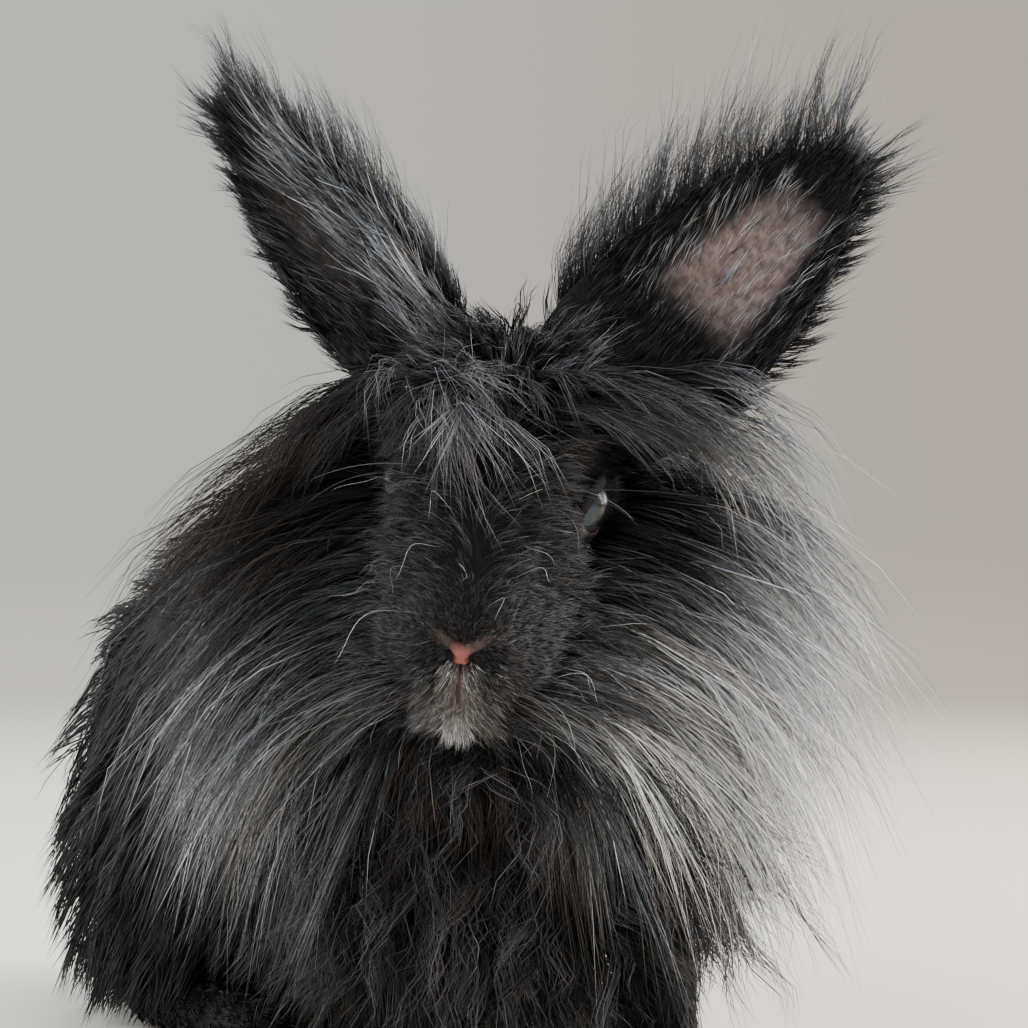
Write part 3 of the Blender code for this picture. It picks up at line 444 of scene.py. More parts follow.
class Graph:
    """A short way to write a material's nodes."""

    def __init__(self, name: str) -> None:
        """Start a material with a Principled shader."""
        self.material = bpy.data.materials.new(name)
        self.material.use_nodes = True
        self.tree = self.material.node_tree
        self.shader = self.tree.nodes["Principled BSDF"]

    def set(self, **values: float) -> None:
        """Set the shader's own sockets, by their names with _ for a space."""
        for name, value in values.items():
            self.shader.inputs[name.replace("_", " ")].default_value = value

    def node(self, kind: str, **values) -> Node:
        """Add a node; values name its inputs or its properties."""
        made = self.tree.nodes.new(kind)
        for name, value in values.items():
            socket = name.replace("_", " ")
            if socket in made.inputs:
                made.inputs[socket].default_value = value
            else:
                setattr(made, name, value)
        return made

    def link(self, source: Socket, target: Socket) -> None:
        """Join two sockets."""
        self.tree.links.new(source, target)

    def attribute(self) -> Socket:
        """The colour that the points carry."""
        return self.node("ShaderNodeAttribute", attribute_name=COLOUR_LAYER).outputs["Color"]

    def noise(self, scale: float, detail: float = 3.0, stretch: Colour = (1.0, 1.0, 1.0)) -> Socket:
        """A fine cloud over the object's own coordinates, stretched by the given factors."""
        place = self.node("ShaderNodeTexCoord").outputs["Object"]
        mapping = self.node("ShaderNodeMapping", Scale=stretch)
        self.link(place, mapping.inputs["Vector"])
        cloud = self.node("ShaderNodeTexNoise", Scale=scale, Detail=detail)
        self.link(mapping.outputs["Vector"], cloud.inputs["Vector"])
        return cloud.outputs["Fac"]

    def scaled(self, value: Socket, low: float, high: float) -> Socket:
        """A value from 0.3 to 0.7 spread over low to high."""
        return self.ramp(value, (0.3, 0.7), (low, high))

    def ramp(self, value: Socket, span: tuple, reach: tuple, kind: str = "LINEAR") -> Socket:
        """A value's span from one number to another, spread over a reach from one to another."""
        made = self.node("ShaderNodeMapRange", interpolation_type=kind)
        for name, number in zip(("From Min", "From Max", "To Min", "To Max"), (*span, *reach)):
            made.inputs[name].default_value = number
        self.link(value, made.inputs["Value"])
        return made.outputs["Result"]

    def shaded(self, colour: Socket, factor: Socket) -> None:
        """Multiply a colour by a factor and give it to the shader."""
        mix = self.node("ShaderNodeVectorMath", operation="SCALE")
        self.link(colour, mix.inputs[0])
        self.link(factor, mix.inputs["Scale"])
        self.link(mix.outputs["Vector"], self.shader.inputs["Base Color"])

    def bump(self, height: Socket, strength: float, distance: float) -> None:
        """Raise the surface's shading by a height."""
        made = self.node("ShaderNodeBump", Strength=strength, Distance=distance)
        self.link(height, made.inputs["Height"])
        self.link(made.outputs["Normal"], self.shader.inputs["Normal"])


@dataclass(frozen=True)
class HairFinish:
    """Dry hair in its own colours, with the faint unevenness of scales along it."""

    name: str
    roughness: float = 0.50
    specular: float = 0.22
    sheen: float = 0.0

    def material(self) -> Material:
        """Make the material."""
        graph = Graph(self.name)
        graph.set(Roughness=self.roughness, Specular_IOR_Level=self.specular, Sheen_Weight=self.sheen)
        graph.shaded(graph.attribute(), graph.scaled(graph.noise(900.0, 1.0), 0.78, 1.2))
        return graph.material


@dataclass(frozen=True)
class SkinFinish:
    """Skin under short flat fur: its own markings and a fine nap."""

    name: str
    roughness: float = 0.7
    nap_scale: float = 650.0
    nap_depth: float = 0.0012

    def material(self) -> Material:
        """Make the material."""
        graph = Graph(self.name)
        graph.set(Roughness=self.roughness, Specular_IOR_Level=0.15)
        nap = graph.noise(self.nap_scale, 2.0, (1.0, 0.45, 0.6))
        graph.shaded(graph.attribute(), graph.scaled(nap, 0.55, 1.25))
        graph.bump(nap, 0.8, self.nap_depth)
        return graph.material


@dataclass(frozen=True)
class LeatherFinish:
    """Bare moist skin: fine pebbles, a soft gloss and a little light through it."""

    name: str
    roughness: float = 0.38
    pebble_scale: float = 1900.0
    gloss: float = 0.5

    def material(self) -> Material:
        """Make the material."""
        graph = Graph(self.name)
        graph.set(Roughness=self.roughness, Specular_IOR_Level=self.gloss, Subsurface_Weight=0.12)
        graph.shader.inputs["Subsurface Radius"].default_value = (0.6, 0.25, 0.15)
        graph.shader.inputs["Subsurface Scale"].default_value = 0.001
        graph.shaded(graph.attribute(), graph.scaled(graph.noise(700.0), 0.85, 1.12))
        graph.bump(graph.noise(self.pebble_scale, 2.0), 0.5, 0.0004)
        return graph.material


@dataclass(frozen=True)
class EyeFinish:
    """A wet eyeball: its iris and pupil come from the points' own colours, under a clear coat."""

    name: str

    def material(self) -> Material:
        """Make the material."""
        graph = Graph(self.name)
        graph.set(Roughness=0.3, Specular_IOR_Level=0.25)
        graph.set(Coat_Weight=0.55, Coat_Roughness=0.02, Coat_IOR=1.38)
        graph.shaded(graph.attribute(), graph.scaled(graph.noise(2600.0, 2.0), 0.8, 1.2))
        return graph.material


@dataclass(frozen=True)
class HornFinish:
    """Claw horn, dull and streaked along its length."""

    name: str

    def material(self) -> Material:
        """Make the material."""
        graph = Graph(self.name)
        graph.set(Roughness=0.35, Specular_IOR_Level=0.5)
        streaks = graph.noise(900.0, 3.0, (1.0, 0.2, 1.0))
        graph.shaded(graph.attribute(), graph.scaled(streaks, 0.7, 1.25))
        graph.bump(streaks, 0.3, 0.0003)
        return graph.material


@dataclass(frozen=True)
class StageFinish:
    """A pale painted sweep, cooler on one side and warmer on the other, lit from inside where it rises."""

    name: str
    cool: Colour = (0.86, 0.85, 0.80)
    warm: Colour = (0.74, 0.67, 0.57)
    glow: float = 0.76
    glow_height: float = 0.14  # metres over the floor where the wall no longer reflects

    def material(self) -> Material:
        """Make the material."""
        graph = Graph(self.name)
        graph.set(Roughness=0.9, Specular_IOR_Level=0.0)
        graph.material.cycles.emission_sampling = "NONE"
        place = graph.node("ShaderNodeTexCoord").outputs["Object"]
        mapping = graph.node("ShaderNodeMapping", vector_type="POINT")
        mapping.inputs["Rotation"].default_value = (0.0, 0.0, math.radians(CAMERA_AZIMUTH))
        graph.link(place, mapping.inputs["Vector"])
        axes = graph.node("ShaderNodeSeparateXYZ")
        graph.link(mapping.outputs["Vector"], axes.inputs["Vector"])
        across = graph.ramp(axes.outputs["X"], (-0.35, 0.5), (0.0, 1.0), "SMOOTHSTEP")
        mix = graph.node("ShaderNodeMix", data_type="RGBA")
        mix.inputs[6].default_value = (*self.cool, 1.0)
        mix.inputs[7].default_value = (*self.warm, 1.0)
        graph.link(across, mix.inputs[0])
        wall = (0.0, self.glow_height)
        graph.shaded(mix.outputs[2], graph.ramp(axes.outputs["Z"], wall, (1.0, 0.0), "SMOOTHSTEP"))
        graph.link(mix.outputs[2], graph.shader.inputs["Emission Color"])
        glow = graph.ramp(axes.outputs["Z"], wall, (0.0, self.glow), "SMOOTHSTEP")
        graph.link(glow, graph.shader.inputs["Emission Strength"])
        return graph.material


# Places of the photograph's camera: millimetres over the floor, and the turn of its view from straight ahead
CAMERA_PLACE = np.array((-325.1, -802.1, 143.5))
CAMERA_AZIMUTH = 24.0
CAMERA_LENS = 111.6
CAMERA_SENSOR = 36.0


@dataclass
class Studio:
    """Camera, sweep, lights and the pale surround."""

    floor_radius: float = 1700.0
    sweep_radius: float = 900.0
    wall_height: float = 2600.0
    aim: tuple[float, float, float] = (-10.0, -60.0, 120.0)
    surround: Colour = (0.80, 0.82, 0.84)
    surround_strength: float = 0.42

    def camera(self) -> None:
        """Set the camera level, at the photograph's place and lens."""
        data = bpy.data.cameras.new("photo_camera")
        data.lens = CAMERA_LENS
        data.sensor_width = CAMERA_SENSOR
        made = bpy.data.objects.new("photo_camera", data)
        made.location = to_world(CAMERA_PLACE)
        made.rotation_euler = (math.radians(90.0), 0.0, math.radians(-CAMERA_AZIMUTH))
        bpy.context.scene.collection.objects.link(made)
        bpy.context.scene.camera = made

    def sweep(self) -> None:
        """A round floor that curves up into a wall: a profile of radius and height turned about z."""
        bend = np.linspace(0.0, math.pi / 2, 24)
        radius = np.concatenate([
            np.linspace(40.0, self.floor_radius, 12)[:-1],
            self.floor_radius + self.sweep_radius * np.sin(bend),
            [self.floor_radius + self.sweep_radius],
        ])
        height = np.concatenate([np.zeros(11), self.sweep_radius * (1 - np.cos(bend)), [self.wall_height]])
        around = 96
        angle = np.linspace(0.0, FULL_TURN, around, False)
        points = np.stack([
            np.outer(radius, np.cos(angle)), np.outer(radius, np.sin(angle)),
            np.repeat(height[:, None], around, axis=1),
        ], axis=-1).reshape(-1, 3)
        points[:, 2] -= SHIFT[2]
        ring, k = np.meshgrid(np.arange(len(radius) - 1), np.arange(around), indexing="ij")
        a, b = ring * around + k, ring * around + (k + 1) % around
        faces = np.stack([a, a + around, b + around, a, b + around, b], axis=-1).reshape(-1, 3)
        k = np.arange(around)
        middle = np.stack([np.full(around, len(points)), k, (k + 1) % around], axis=-1)
        points = np.vstack([points, (0.0, 0.0, -SHIFT[2])])
        made = make_piece("sweep", points, np.vstack([faces, middle]), StageFinish("sweep").material(), None)

    def light(
        self, name: str, right: float, ahead: float, up: float, size: float, power: float, colour: Colour,
    ) -> None:
        """A soft square light to the right of, beyond and above the animal as the camera sees it."""
        data = bpy.data.lights.new(name, "AREA")
        data.energy = power
        data.size = size * MM
        data.color = colour
        made = bpy.data.objects.new(name, data)
        view = turn_about("Z", -CAMERA_AZIMUTH)
        place = np.array(self.aim) + view @ np.array((right, ahead, up))
        made.location = to_world(place)
        aim = Vector(to_world(self.aim)) - made.location
        made.rotation_euler = aim.to_track_quat("-Z", "Y").to_euler()
        made.visible_camera = False
        bpy.context.scene.collection.objects.link(made)

    def lights(self) -> None:
        """A broad window from the right and a little behind, and soft fills from the front, left and top."""
        self.light("window", 1150.0, 350.0, 520.0, 900.0, 46.0, (1.0, 0.99, 0.975))
        self.light("front_fill", -350.0, -1250.0, 750.0, 480.0, 9.0, (0.96, 0.98, 1.0))
        self.light("left_fill", -1150.0, 300.0, 500.0, 900.0, 13.0, (0.94, 0.97, 1.0))
        self.light("top", 0.0, 300.0, 1400.0, 1200.0, 16.0, (1.0, 1.0, 1.0))
        world = bpy.data.worlds.new("surround")
        world.use_nodes = True
        shade = world.node_tree.nodes["Background"]
        shade.inputs["Color"].default_value = (*self.surround, 1.0)
        shade.inputs["Strength"].default_value = self.surround_strength
        bpy.context.scene.world = world


# Half ovals of the head and torso, as in the solids: y, half width, top, widest height, bottom
HEAD_STATIONS = (
    (-50.5, 9.5, -8.0, -17.0, -25.0), (-47.5, 14.5, -3.5, -19.0, -31.0), (-43.0, 18.0, 0.5, -21.0, -36.0),
    (-36.0, 20.2, 6.5, -21.0, -38.5), (-27.0, 21.6, 13.0, -18.0, -39.0), (-17.0, 22.6, 18.5, -14.0, -39.5),
    (-7.0, 23.6, 22.0, -12.0, -39.5), (3.0, 25.0, 24.5, -10.0, -38.0), (13.0, 26.4, 27.0, -8.0, -36.0),
    (23.0, 26.6, 28.0, -5.0, -32.0), (32.0, 24.0, 26.0, -2.0, -26.0), (39.0, 17.0, 20.5, 1.0, -17.0),
)
HEAD_POLES = ((-51.5, -16.0), (42.5, 4.0))
HEAD_SQUARENESS = 0.86
TORSO_STATIONS = (
    (-110.0, 22.0, 96.0, 76.0, 52.0), (-103.0, 38.0, 110.0, 74.0, 38.0), (-90.0, 51.0, 120.0, 71.0, 27.0),
    (-70.0, 60.0, 128.0, 68.0, 19.0), (-42.0, 65.0, 135.0, 66.0, 14.0), (-10.0, 68.0, 143.0, 65.0, 11.0),
    (25.0, 72.0, 152.0, 65.0, 9.0), (58.0, 74.0, 157.0, 66.0, 8.0), (86.0, 72.0, 154.0, 66.0, 8.0),
    (108.0, 64.0, 143.0, 66.0, 10.0), (125.0, 50.0, 124.0, 65.0, 16.0), (136.0, 32.0, 100.0, 63.0, 29.0),
)
TORSO_POLES = ((-113.0, 74.0), (141.0, 62.0))
NECK_TOP = np.array((-10.0, -89.0, 156.0))
NECK_FOOT = np.array((0.0, -52.0, 108.0))
NECK_STATIONS = (
    (-6.0, 26.0, 25.0, 0.0, -26.0), (10.0, 31.0, 29.0, 0.0, -31.0), (28.0, 37.0, 33.0, 0.0, -38.0),
    (46.0, 44.0, 36.0, 0.0, -44.0), (64.0, 50.0, 38.0, 0.0, -48.0),
)
NECK_POLES = ((-16.0, 0.0), (74.0, 0.0))
THIGH_CENTRE = (46.0, 52.0, 49.0)
THIGH_RADII = (35.0, 53.0, 46.0)
FOOT_PATH = ((47.0, 84.0, 9.0), (48.0, 50.0, 8.5), (46.0, 14.0, 8.0), (44.0, -20.0, 7.0))
FOOT_RADII = ((11.0, 10.5), (12.0, 10.5), (12.5, 10.0), (10.5, 8.5))
ARM_PATH = (
    (34.0, -70.0, 66.0), (33.0, -82.0, 44.0), (31.0, -92.0, 22.0), (29.0, -102.0, 9.0), (28.0, -121.0, 6.0),
)
ARM_RADII = ((19.0, 21.0), (14.0, 15.0), (11.0, 11.0), (11.0, 10.0), (9.5, 7.5))
TAIL_CENTRE = (0.0, 149.0, 52.0)
TAIL_RADII = (19.0, 20.0, 24.0)
CHEEK_CENTRE = (18.0, 17.0, -14.0)
CHEEK_RADII = (20.0, 20.0, 24.0)
EAR_ROOT = (16.0, 27.0, 10.0)
EAR_LEANS = {Side.LEFT: (38.5, -8.0, -16.0), Side.RIGHT: (46.0, -8.0, 30.0)}
EAR_HALF_WIDTHS = {Side.LEFT: 26.0, Side.RIGHT: 18.5}

# How far the skin lies under the coat's outside, in millimetres
FACE_COAT = 1.6
CHEEK_COAT = 5.0
BODY_COAT = 8.0
LEG_COAT = 3.0
FOOT_COAT = 1.4


class Probe:
    """Answers how points lie to the finished skin."""

    def __init__(self, points: Array, faces: Array, normals: Array) -> None:
        """Keep a tree of the skin's triangles, and its smooth outward directions."""
        self.tree = BVHTree.FromPolygons(points.tolist(), faces.tolist())
        self.faces = faces
        self.normals = normals

    def nearest(self, points: Array) -> tuple[Array, Array, Array]:
        """The nearest skin, its outward direction, and how high the points are over it."""
        hits = [self.tree.find_nearest(point) for point in points.tolist()]
        near = np.array([hit[0][:] for hit in hits])
        index = np.array([hit[2] for hit in hits])
        out = unit(self.normals[self.faces[index]].mean(axis=1))
        return near, out, np.sum((points - near) * out, axis=1)

    def ahead(self, origins: Array, direction: Array) -> tuple[Array, Array]:
        """Where rays first meet the skin, or the nearest skin where they miss, and its outward direction."""
        aim = Vector(direction)
        points, index = [], []
        for origin in origins.tolist():
            hit = self.tree.ray_cast(origin, aim)
            if hit[0] is None:
                hit = self.tree.find_nearest(origin)
            points.append(hit[0][:])
            index.append(hit[2])
        return np.array(points), unit(self.normals[self.faces[np.array(index)]].mean(axis=1))


@dataclass
class Ear:
    """A curved leaf with a cup that opens forwards, on the side given."""

    side: Side
    length: float = 92.0
    cup_depth: float = 11.0
    wall: float = 2.6
    bow: float = 0.42

    @property
    def half_width(self) -> float:
        """Half the ear's greatest width."""
        return EAR_HALF_WIDTHS[self.side]

    @property
    def turn(self) -> Array:
        """How the ear's across, back and up turn into the animal's directions."""
        splay, back, turn = EAR_LEANS[self.side]
        sign = self.side.value
        lean = turn_about("Y", sign * splay) @ turn_about("X", back) @ turn_about("Z", sign * turn)
        return HEAD_TURN @ turn_about("X", -HEAD_PITCH) @ lean

    def placed(self, points: Array) -> Array:
        """Points in the ear's own frame, as points over the floor."""
        return points @ self.turn.T + from_head(self.side.mirrored(EAR_ROOT))

    def leaf(self, share: Array, spread: Array) -> Array:
        """The middle of the wall: share from root to tip, spread from -1 to 1 across."""
        share, spread = np.broadcast_arrays(np.clip(share, 0.0, 1.0), spread)
        half = np.maximum(self.half_width * np.sin(math.pi * (0.16 + 0.84 * share) ** 0.80) ** 0.62, 3.0)
        bow = math.pi * self.bow
        across = half * np.sin(bow * spread) / math.sin(bow)
        depth = self.cup_depth * (1 - 0.55 * share) * (np.cos(bow * spread) - math.cos(bow))
        return np.stack([across, depth, share * self.length], axis=-1)

    def face(self, share: Array, spread: Array, front: bool) -> Array:
        """Points of the ear's front or back, over the floor."""
        points = self.leaf(share, spread)
        half_wall = self.wall / 2 * np.sqrt(np.clip(1.08 - spread**2, 0.08, 1.0))
        if front:
            open_share = np.clip((share - 0.24) / 0.16, 0.0, 1.0)
            points[..., 1] = open_share * points[..., 1] - half_wall
        else:
            points[..., 1] += half_wall
        return self.placed(points)

    def at(self, share: Array, spread: Array, front: bool) -> tuple[Array, Array]:
        """Points and outward directions of one face."""
        step = 0.01
        up = self.face(np.minimum(share + step, 1), spread, front) - self.face(share - step, spread, front)
        across = self.face(share, spread + step, front) - self.face(share, spread - step, front)
        out = unit(np.cross(up, across)) * (-1.0 if front else 1.0)
        facing = out @ self.turn[:, 1] * (-1.0 if front else 1.0)
        return self.face(share, spread, front), np.where((facing < 0)[:, None], -out, out)

    def shell(self) -> tuple[Array, Array]:
        """The closed leaf."""
        rings, across = 60, 21
        share = np.linspace(0.0, 1.0, rings)[:, None]
        spread = np.linspace(-1.0, 1.0, across)[None, :]
        behind, before = self.face(share, spread, False), self.face(share, spread[:, ::-1], True)
        rows = np.concatenate([behind, before], axis=1)
        tip = rows[-1].mean(axis=0) + self.turn[:, 2] * 2.0
        points = np.vstack([rows.reshape(-1, 3), rows[0].mean(axis=0), tip])
        return outwards(points, closed_faces(rings, 2 * across))


@dataclass(frozen=True)
class Palette:
    """The coat's and skin's colours, linear."""

    black: Colour = (0.0050, 0.0047, 0.0050)
    charcoal: Colour = (0.0150, 0.0150, 0.0162)
    umber: Colour = (0.030, 0.022, 0.018)
    ash: Colour = (0.042, 0.041, 0.044)
    grey: Colour = (0.098, 0.099, 0.106)
    silver: Colour = (0.37, 0.378, 0.40)
    white: Colour = (0.62, 0.62, 0.63)
    tan: Colour = (0.062, 0.040, 0.034)
    pink: Colour = (0.25, 0.082, 0.078)
    # the ears' insides: pink skin painted lit, and painted shade
    lit_blush: Colour = (0.23, 0.165, 0.155)
    shade: Colour = (0.030, 0.024, 0.023)
    smoke: Colour = (0.034, 0.034, 0.037)
    hide: Colour = (0.0050, 0.0042, 0.0042)


PALETTE = Palette()
BLACK, CHARCOAL, UMBER, ASH = PALETTE.black, PALETTE.charcoal, PALETTE.umber, PALETTE.ash
GREY, SILVER, WHITE, SMOKE = PALETTE.grey, PALETTE.silver, PALETTE.white, PALETTE.smoke


def blend(first: Array, second: Array, share: Array) -> Array:
    """Mix colours or vectors row by row."""
    share = np.asarray(share, float)[..., None]
    return np.asarray(first, float) * (1 - share) + np.asarray(second, float) * share


@dataclass
class Anatomy:
    """The surfaces that the skin is made of, each inside the coat by its depth."""

    head: Rings = field(init=False)
    neck: Rings = field(init=False)
    torso: Rings = field(init=False)
    tail: Rings = field(init=False)
    cheeks: dict[Side, Rings] = field(default_factory=dict)
    thighs: dict[Side, Rings] = field(default_factory=dict)
    feet: dict[Side, Rings] = field(default_factory=dict)
    arms: dict[Side, Rings] = field(default_factory=dict)
    ears: dict[Side, Ear] = field(default_factory=dict)
    toes: list[Rings] = field(default_factory=list)

    def __post_init__(self) -> None:
        """Make each surface from the sizes above."""
        bumps = (
            Bump((20.0, 1.0, 13.0), 7.0, 2.0),
            Bump((20.0, -14.0, -2.0), 7.0, -1.6),
            Bump((12.0, -43.0, -23.0), 6.5, 1.6),
            Bump((21.0, 12.0, -22.0), 9.0, 2.0),
            Bump((0.0, -30.0, 11.0), 8.0, 0.8),
            Bump((0.0, -46.0, -33.0), 6.0, 3.2),
        )
        self.head = Rings.loft(HEAD_STATIONS, HEAD_POLES, FACE_COAT, squareness=HEAD_SQUARENESS)
        self.head.placed(HEAD_TURN, EYE_MIDDLE)
        self.head.bumps = bumps
        ahead = unit(NECK_FOOT - NECK_TOP)
        across = unit(np.cross(ahead, (0.0, 0.0, 1.0)))
        neck_turn = np.stack([across, ahead, np.cross(across, ahead)], axis=1)
        self.neck = Rings.loft(NECK_STATIONS, NECK_POLES, BODY_COAT).placed(neck_turn, NECK_TOP)
        self.torso = Rings.loft(TORSO_STATIONS, TORSO_POLES, BODY_COAT)
        self.tail = Rings.ball(TAIL_CENTRE, TAIL_RADII, BODY_COAT)
        for side in Side:
            cheek = Rings.ball(side.mirrored(CHEEK_CENTRE), CHEEK_RADII, CHEEK_COAT)
            self.cheeks[side] = cheek.placed(HEAD_TURN, EYE_MIDDLE)
            self.thighs[side] = Rings.ball(side.mirrored(THIGH_CENTRE), THIGH_RADII, BODY_COAT)
            self.feet[side] = Rings.tube(tuple(side.mirrored(p) for p in FOOT_PATH), FOOT_RADII, FOOT_COAT)
            self.arms[side] = Rings.tube(tuple(side.mirrored(p) for p in ARM_PATH), ARM_RADII, LEG_COAT)
            self.ears[side] = Ear(side)
            self.toes += self.paw(side, FOOT_PATH[-1], 7.5) + self.paw(side, ARM_PATH[-1], 6.4)

    @staticmethod
    def paw(side: Side, end: tuple, reach: float) -> list[Rings]:
        """Four toes that spread from the end of a foot."""
        toes = []
        for k in range(4):
            aside = (k - 1.5) * reach * 0.56
            length = reach * (1.15 - 0.12 * abs(k - 1.5))
            centre = side.mirrored((end[0] + aside, end[1] - 0.25 * length, 3.9))
            toes.append(Rings.ball(centre, (reach * 0.34, length, 3.9)))
        return toes

    def shells(self) -> list[tuple[Array, Array]]:
        """Every closed surface, as points and triangles."""
        made = [self.head.shell(90, 96), self.neck.shell(40, 72)]
        made += [self.torso.shell(90, 96), self.tail.shell(24, 40)]
        for group, rings, around in ((self.cheeks, 30, 48), (self.thighs, 50, 64), (self.feet, 40, 40)):
            made += [part.shell(rings, around) for part in group.values()]
        made += [arm.shell(40, 40) for arm in self.arms.values()]
        made += [ear.shell() for ear in self.ears.values()]
        made += [toe.shell(16, 20) for toe in self.toes]
        return made


@dataclass
class Hide:
    """The one skin that stands for every node of flesh."""

    anatomy: Anatomy
    voxel: float = 1.05
    smoothing: int = 8
    kept_share: float = 0.50

    def build(self) -> Probe:
        """Fuse the shells, smooth them, colour them and hand back the probe."""
        points, faces = merged(self.anatomy.shells())
        made = make_piece("skin", points, faces, SkinFinish("nap").material(), Slot.COAT)
        fuse = made.modifiers.new("fuse", "REMESH")
        fuse.mode = "VOXEL"
        fuse.voxel_size = self.voxel * MM
        soften = made.modifiers.new("soften", "SMOOTH")
        soften.factor = 0.5
        soften.iterations = self.smoothing
        thin = made.modifiers.new("thin", "DECIMATE")
        thin.ratio = self.kept_share
        thin.use_collapse_triangulate = True
        applied(made)
        made.data.shade_smooth()
        points, faces, normals = mesh_arrays(made.data)
        paint(made.data, self.colours(points))
        made.data.materials.clear()
        made.data.materials.append(bpy.data.materials["nap"])
        LOG.info("skin after fusing: %d triangles", len(faces))
        flesh = ["head", "neck", "torso", "tail"]
        flesh += [f"{part}_{side.word}" for part in ("ear", "foreleg", "hind_leg") for side in Side]
        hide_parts(*flesh)
        return Probe(points, faces, normals)

    def colours(self, points: Array) -> Array:
        """Dark hide under the coat; inside the ears, painted light and shade: pink skin painted lit inside
        the ear that faces the light, and painted shade inside the other.
        """
        colours = np.tile(PALETTE.hide, (len(points), 1))
        for ear in self.anatomy.ears.values():
            local = (points - from_head(ear.side.mirrored(EAR_ROOT))) @ ear.turn
            share, across = local[:, 2] / ear.length, local[:, 0]
            half = ear.half_width * np.sin(math.pi * (0.16 + 0.84 * np.clip(share, 0, 1)) ** 0.80) ** 0.62
            middle = ear.leaf(np.clip(share, 0, 1), np.clip(across / np.maximum(half, 3.0), -1, 1))
            inside = (local[:, 1] < middle[:, 1]) & (share > 0.2) & (share < 1.05)
            inside &= np.abs(across) < half + 3
            hollow = smoothstep(0.36, 0.52, share) * (1 - smoothstep(0.72, 0.88, share))
            hollow *= 1 - smoothstep(0.35, 0.62, np.abs(across) / np.maximum(half, 3.0))
            # painted light and shade: the ear that faces the light gets the lit blush, the other painted
            # shade
            tone = PALETTE.lit_blush if ear.side is Side.LEFT else PALETTE.shade
            colours = blend(colours, tone, hollow * inside)
        return colours


@dataclass
class Hair:
    """Many hairs before they are meshed: where each roots and how it leaves and ends.

    Directions are unit vectors. A hair turns evenly from its start to its end direction.
    """

    roots: Array
    out: Array
    start: Array
    end: Array
    length: Array
    unwrap: Array
    dark: Array
    pale: Array
    width: Array
    wave: Array
    pale_from: Array

    def __len__(self) -> int:
        """How many hairs."""
        return len(self.roots)

    @classmethod
    def of(cls, rows: Array, roots: Array, out: Array, start: Array, end: Array, unwrap: Array) -> "Hair":
        """Hairs with the length, colours, width and wave that their rows of growth give."""
        looks = (rows[:, 8:11], rows[:, 11:14], rows[:, 14], rows[:, 15], rows[:, 16])
        return cls(roots, out, unit(start), unit(end), rows[:, 0], unwrap, *looks)

    def kept(self, chosen: Array) -> "Hair":
        """Only the hairs chosen by a mask or an index."""
        return Hair(*(getattr(self, name)[chosen] for name in self.__dataclass_fields__))

    @staticmethod
    def joined(groups: list["Hair"]) -> "Hair":
        """Several groups as one, each with its own strip of the bake's map, as wide as its share of hairs."""
        total = sum(len(group) for group in groups)
        start = 0.0
        for group in groups:
            share = len(group) / total
            group.unwrap = group.unwrap * (share * 0.99, 1.0) + (start, 0.0)
            start += share
        names = Hair.__dataclass_fields__
        return Hair(*(np.concatenate([getattr(group, name) for group in groups]) for name in names))


@dataclass(frozen=True)
class Habit:
    """How the hairs of one piece gather and how finely they are meshed."""

    per_clump: float = 22.0  # hairs to a clump
    gather: float = 0.75  # how far the tips of a clump draw together
    clump_noise: float = 0.14  # how far whole clumps turn aside
    hair_noise: float = 0.05  # how far each hair turns aside, as a share of its length
    length_spread: float = 0.28
    flyaway_share: float = 0.03
    clearance: float = 1.2  # how high a clump's line stays over the skin, in millimetres
    wave_length: float = 17.0
    flatness: float = 0.55
    segments: int = 4
    floor: float = 1.2


SHORT_HABIT = Habit(4, 0.30, 0.20, 0.12, 0.35, 0.03, 0.5, 7.0, 0.6, 2)
LONG_HABIT = Habit(7, 0.45, 0.22, 0.10, 0.4, 0.06, 1.2, 14.0, 0.6, 3)
MOUTH_HABIT = Habit(3, 0.2, 0.22, 0.12, 0.5, 0.0, 0.3, 8.0, 0.7, 2)
MANE_HABIT = Habit(12, 0.60, 0.11, 0.06, 0.34, 0.06, 3.0, 30.0, 0.55, 4)
CROWN_HABIT = Habit(8, 0.6, 0.22, 0.08, 0.4, 0.05, 1.0, 16.0, 0.55, 4)
STRAY_HABIT = Habit(1, 0.0, 0.35, 0.05, 0.5, 0.0, 1.5, 24.0, 0.8, 12)
EAR_HABIT = Habit(5, 0.25, 0.14, 0.08, 0.35, 0.03, 0.5, 10.0, 0.6, 2)
FRINGE_HABIT = Habit(6, 0.35, 0.17, 0.09, 0.6, 0.12, 0.5, 26.0, 0.55, 4)
RUFF_HABIT = Habit(14, 0.65, 0.16, 0.06, 0.35, 0.04, 2.5, 20.0, 0.5, 4)
WAVY_HABIT = Habit(14, 0.62, 0.26, 0.07, 0.42, 0.06, 2.2, 21.0, 0.5, 6)
SIDE_HABIT = Habit(16, 0.55, 0.15, 0.07, 0.3, 0.02, 1.2, 16.0, 0.4, 3)
LEG_HABIT = Habit(8, 0.4, 0.14, 0.06, 0.3, 0.0, 0.4, 12.0, 0.5, 2, 0.8)
TAIL_HABIT = Habit(16, 0.6, 0.18, 0.07, 0.35, 0.03, 1.0, 14.0, 0.5, 4)
ALL_ROUND = (-180.0, 180.0)
LINE_STEPS = 12  # points on the line of a clump
REACH = 8.0  # how far a hair passes the solids' box freely
REACH_KEPT = 0.25  # the share that it keeps of what lies beyond
STRAY_LIGHT = 1.8  # how much paler stray hairs are
NEAR_SKIN = 2.6  # how far a root's first place may lie from the finished skin


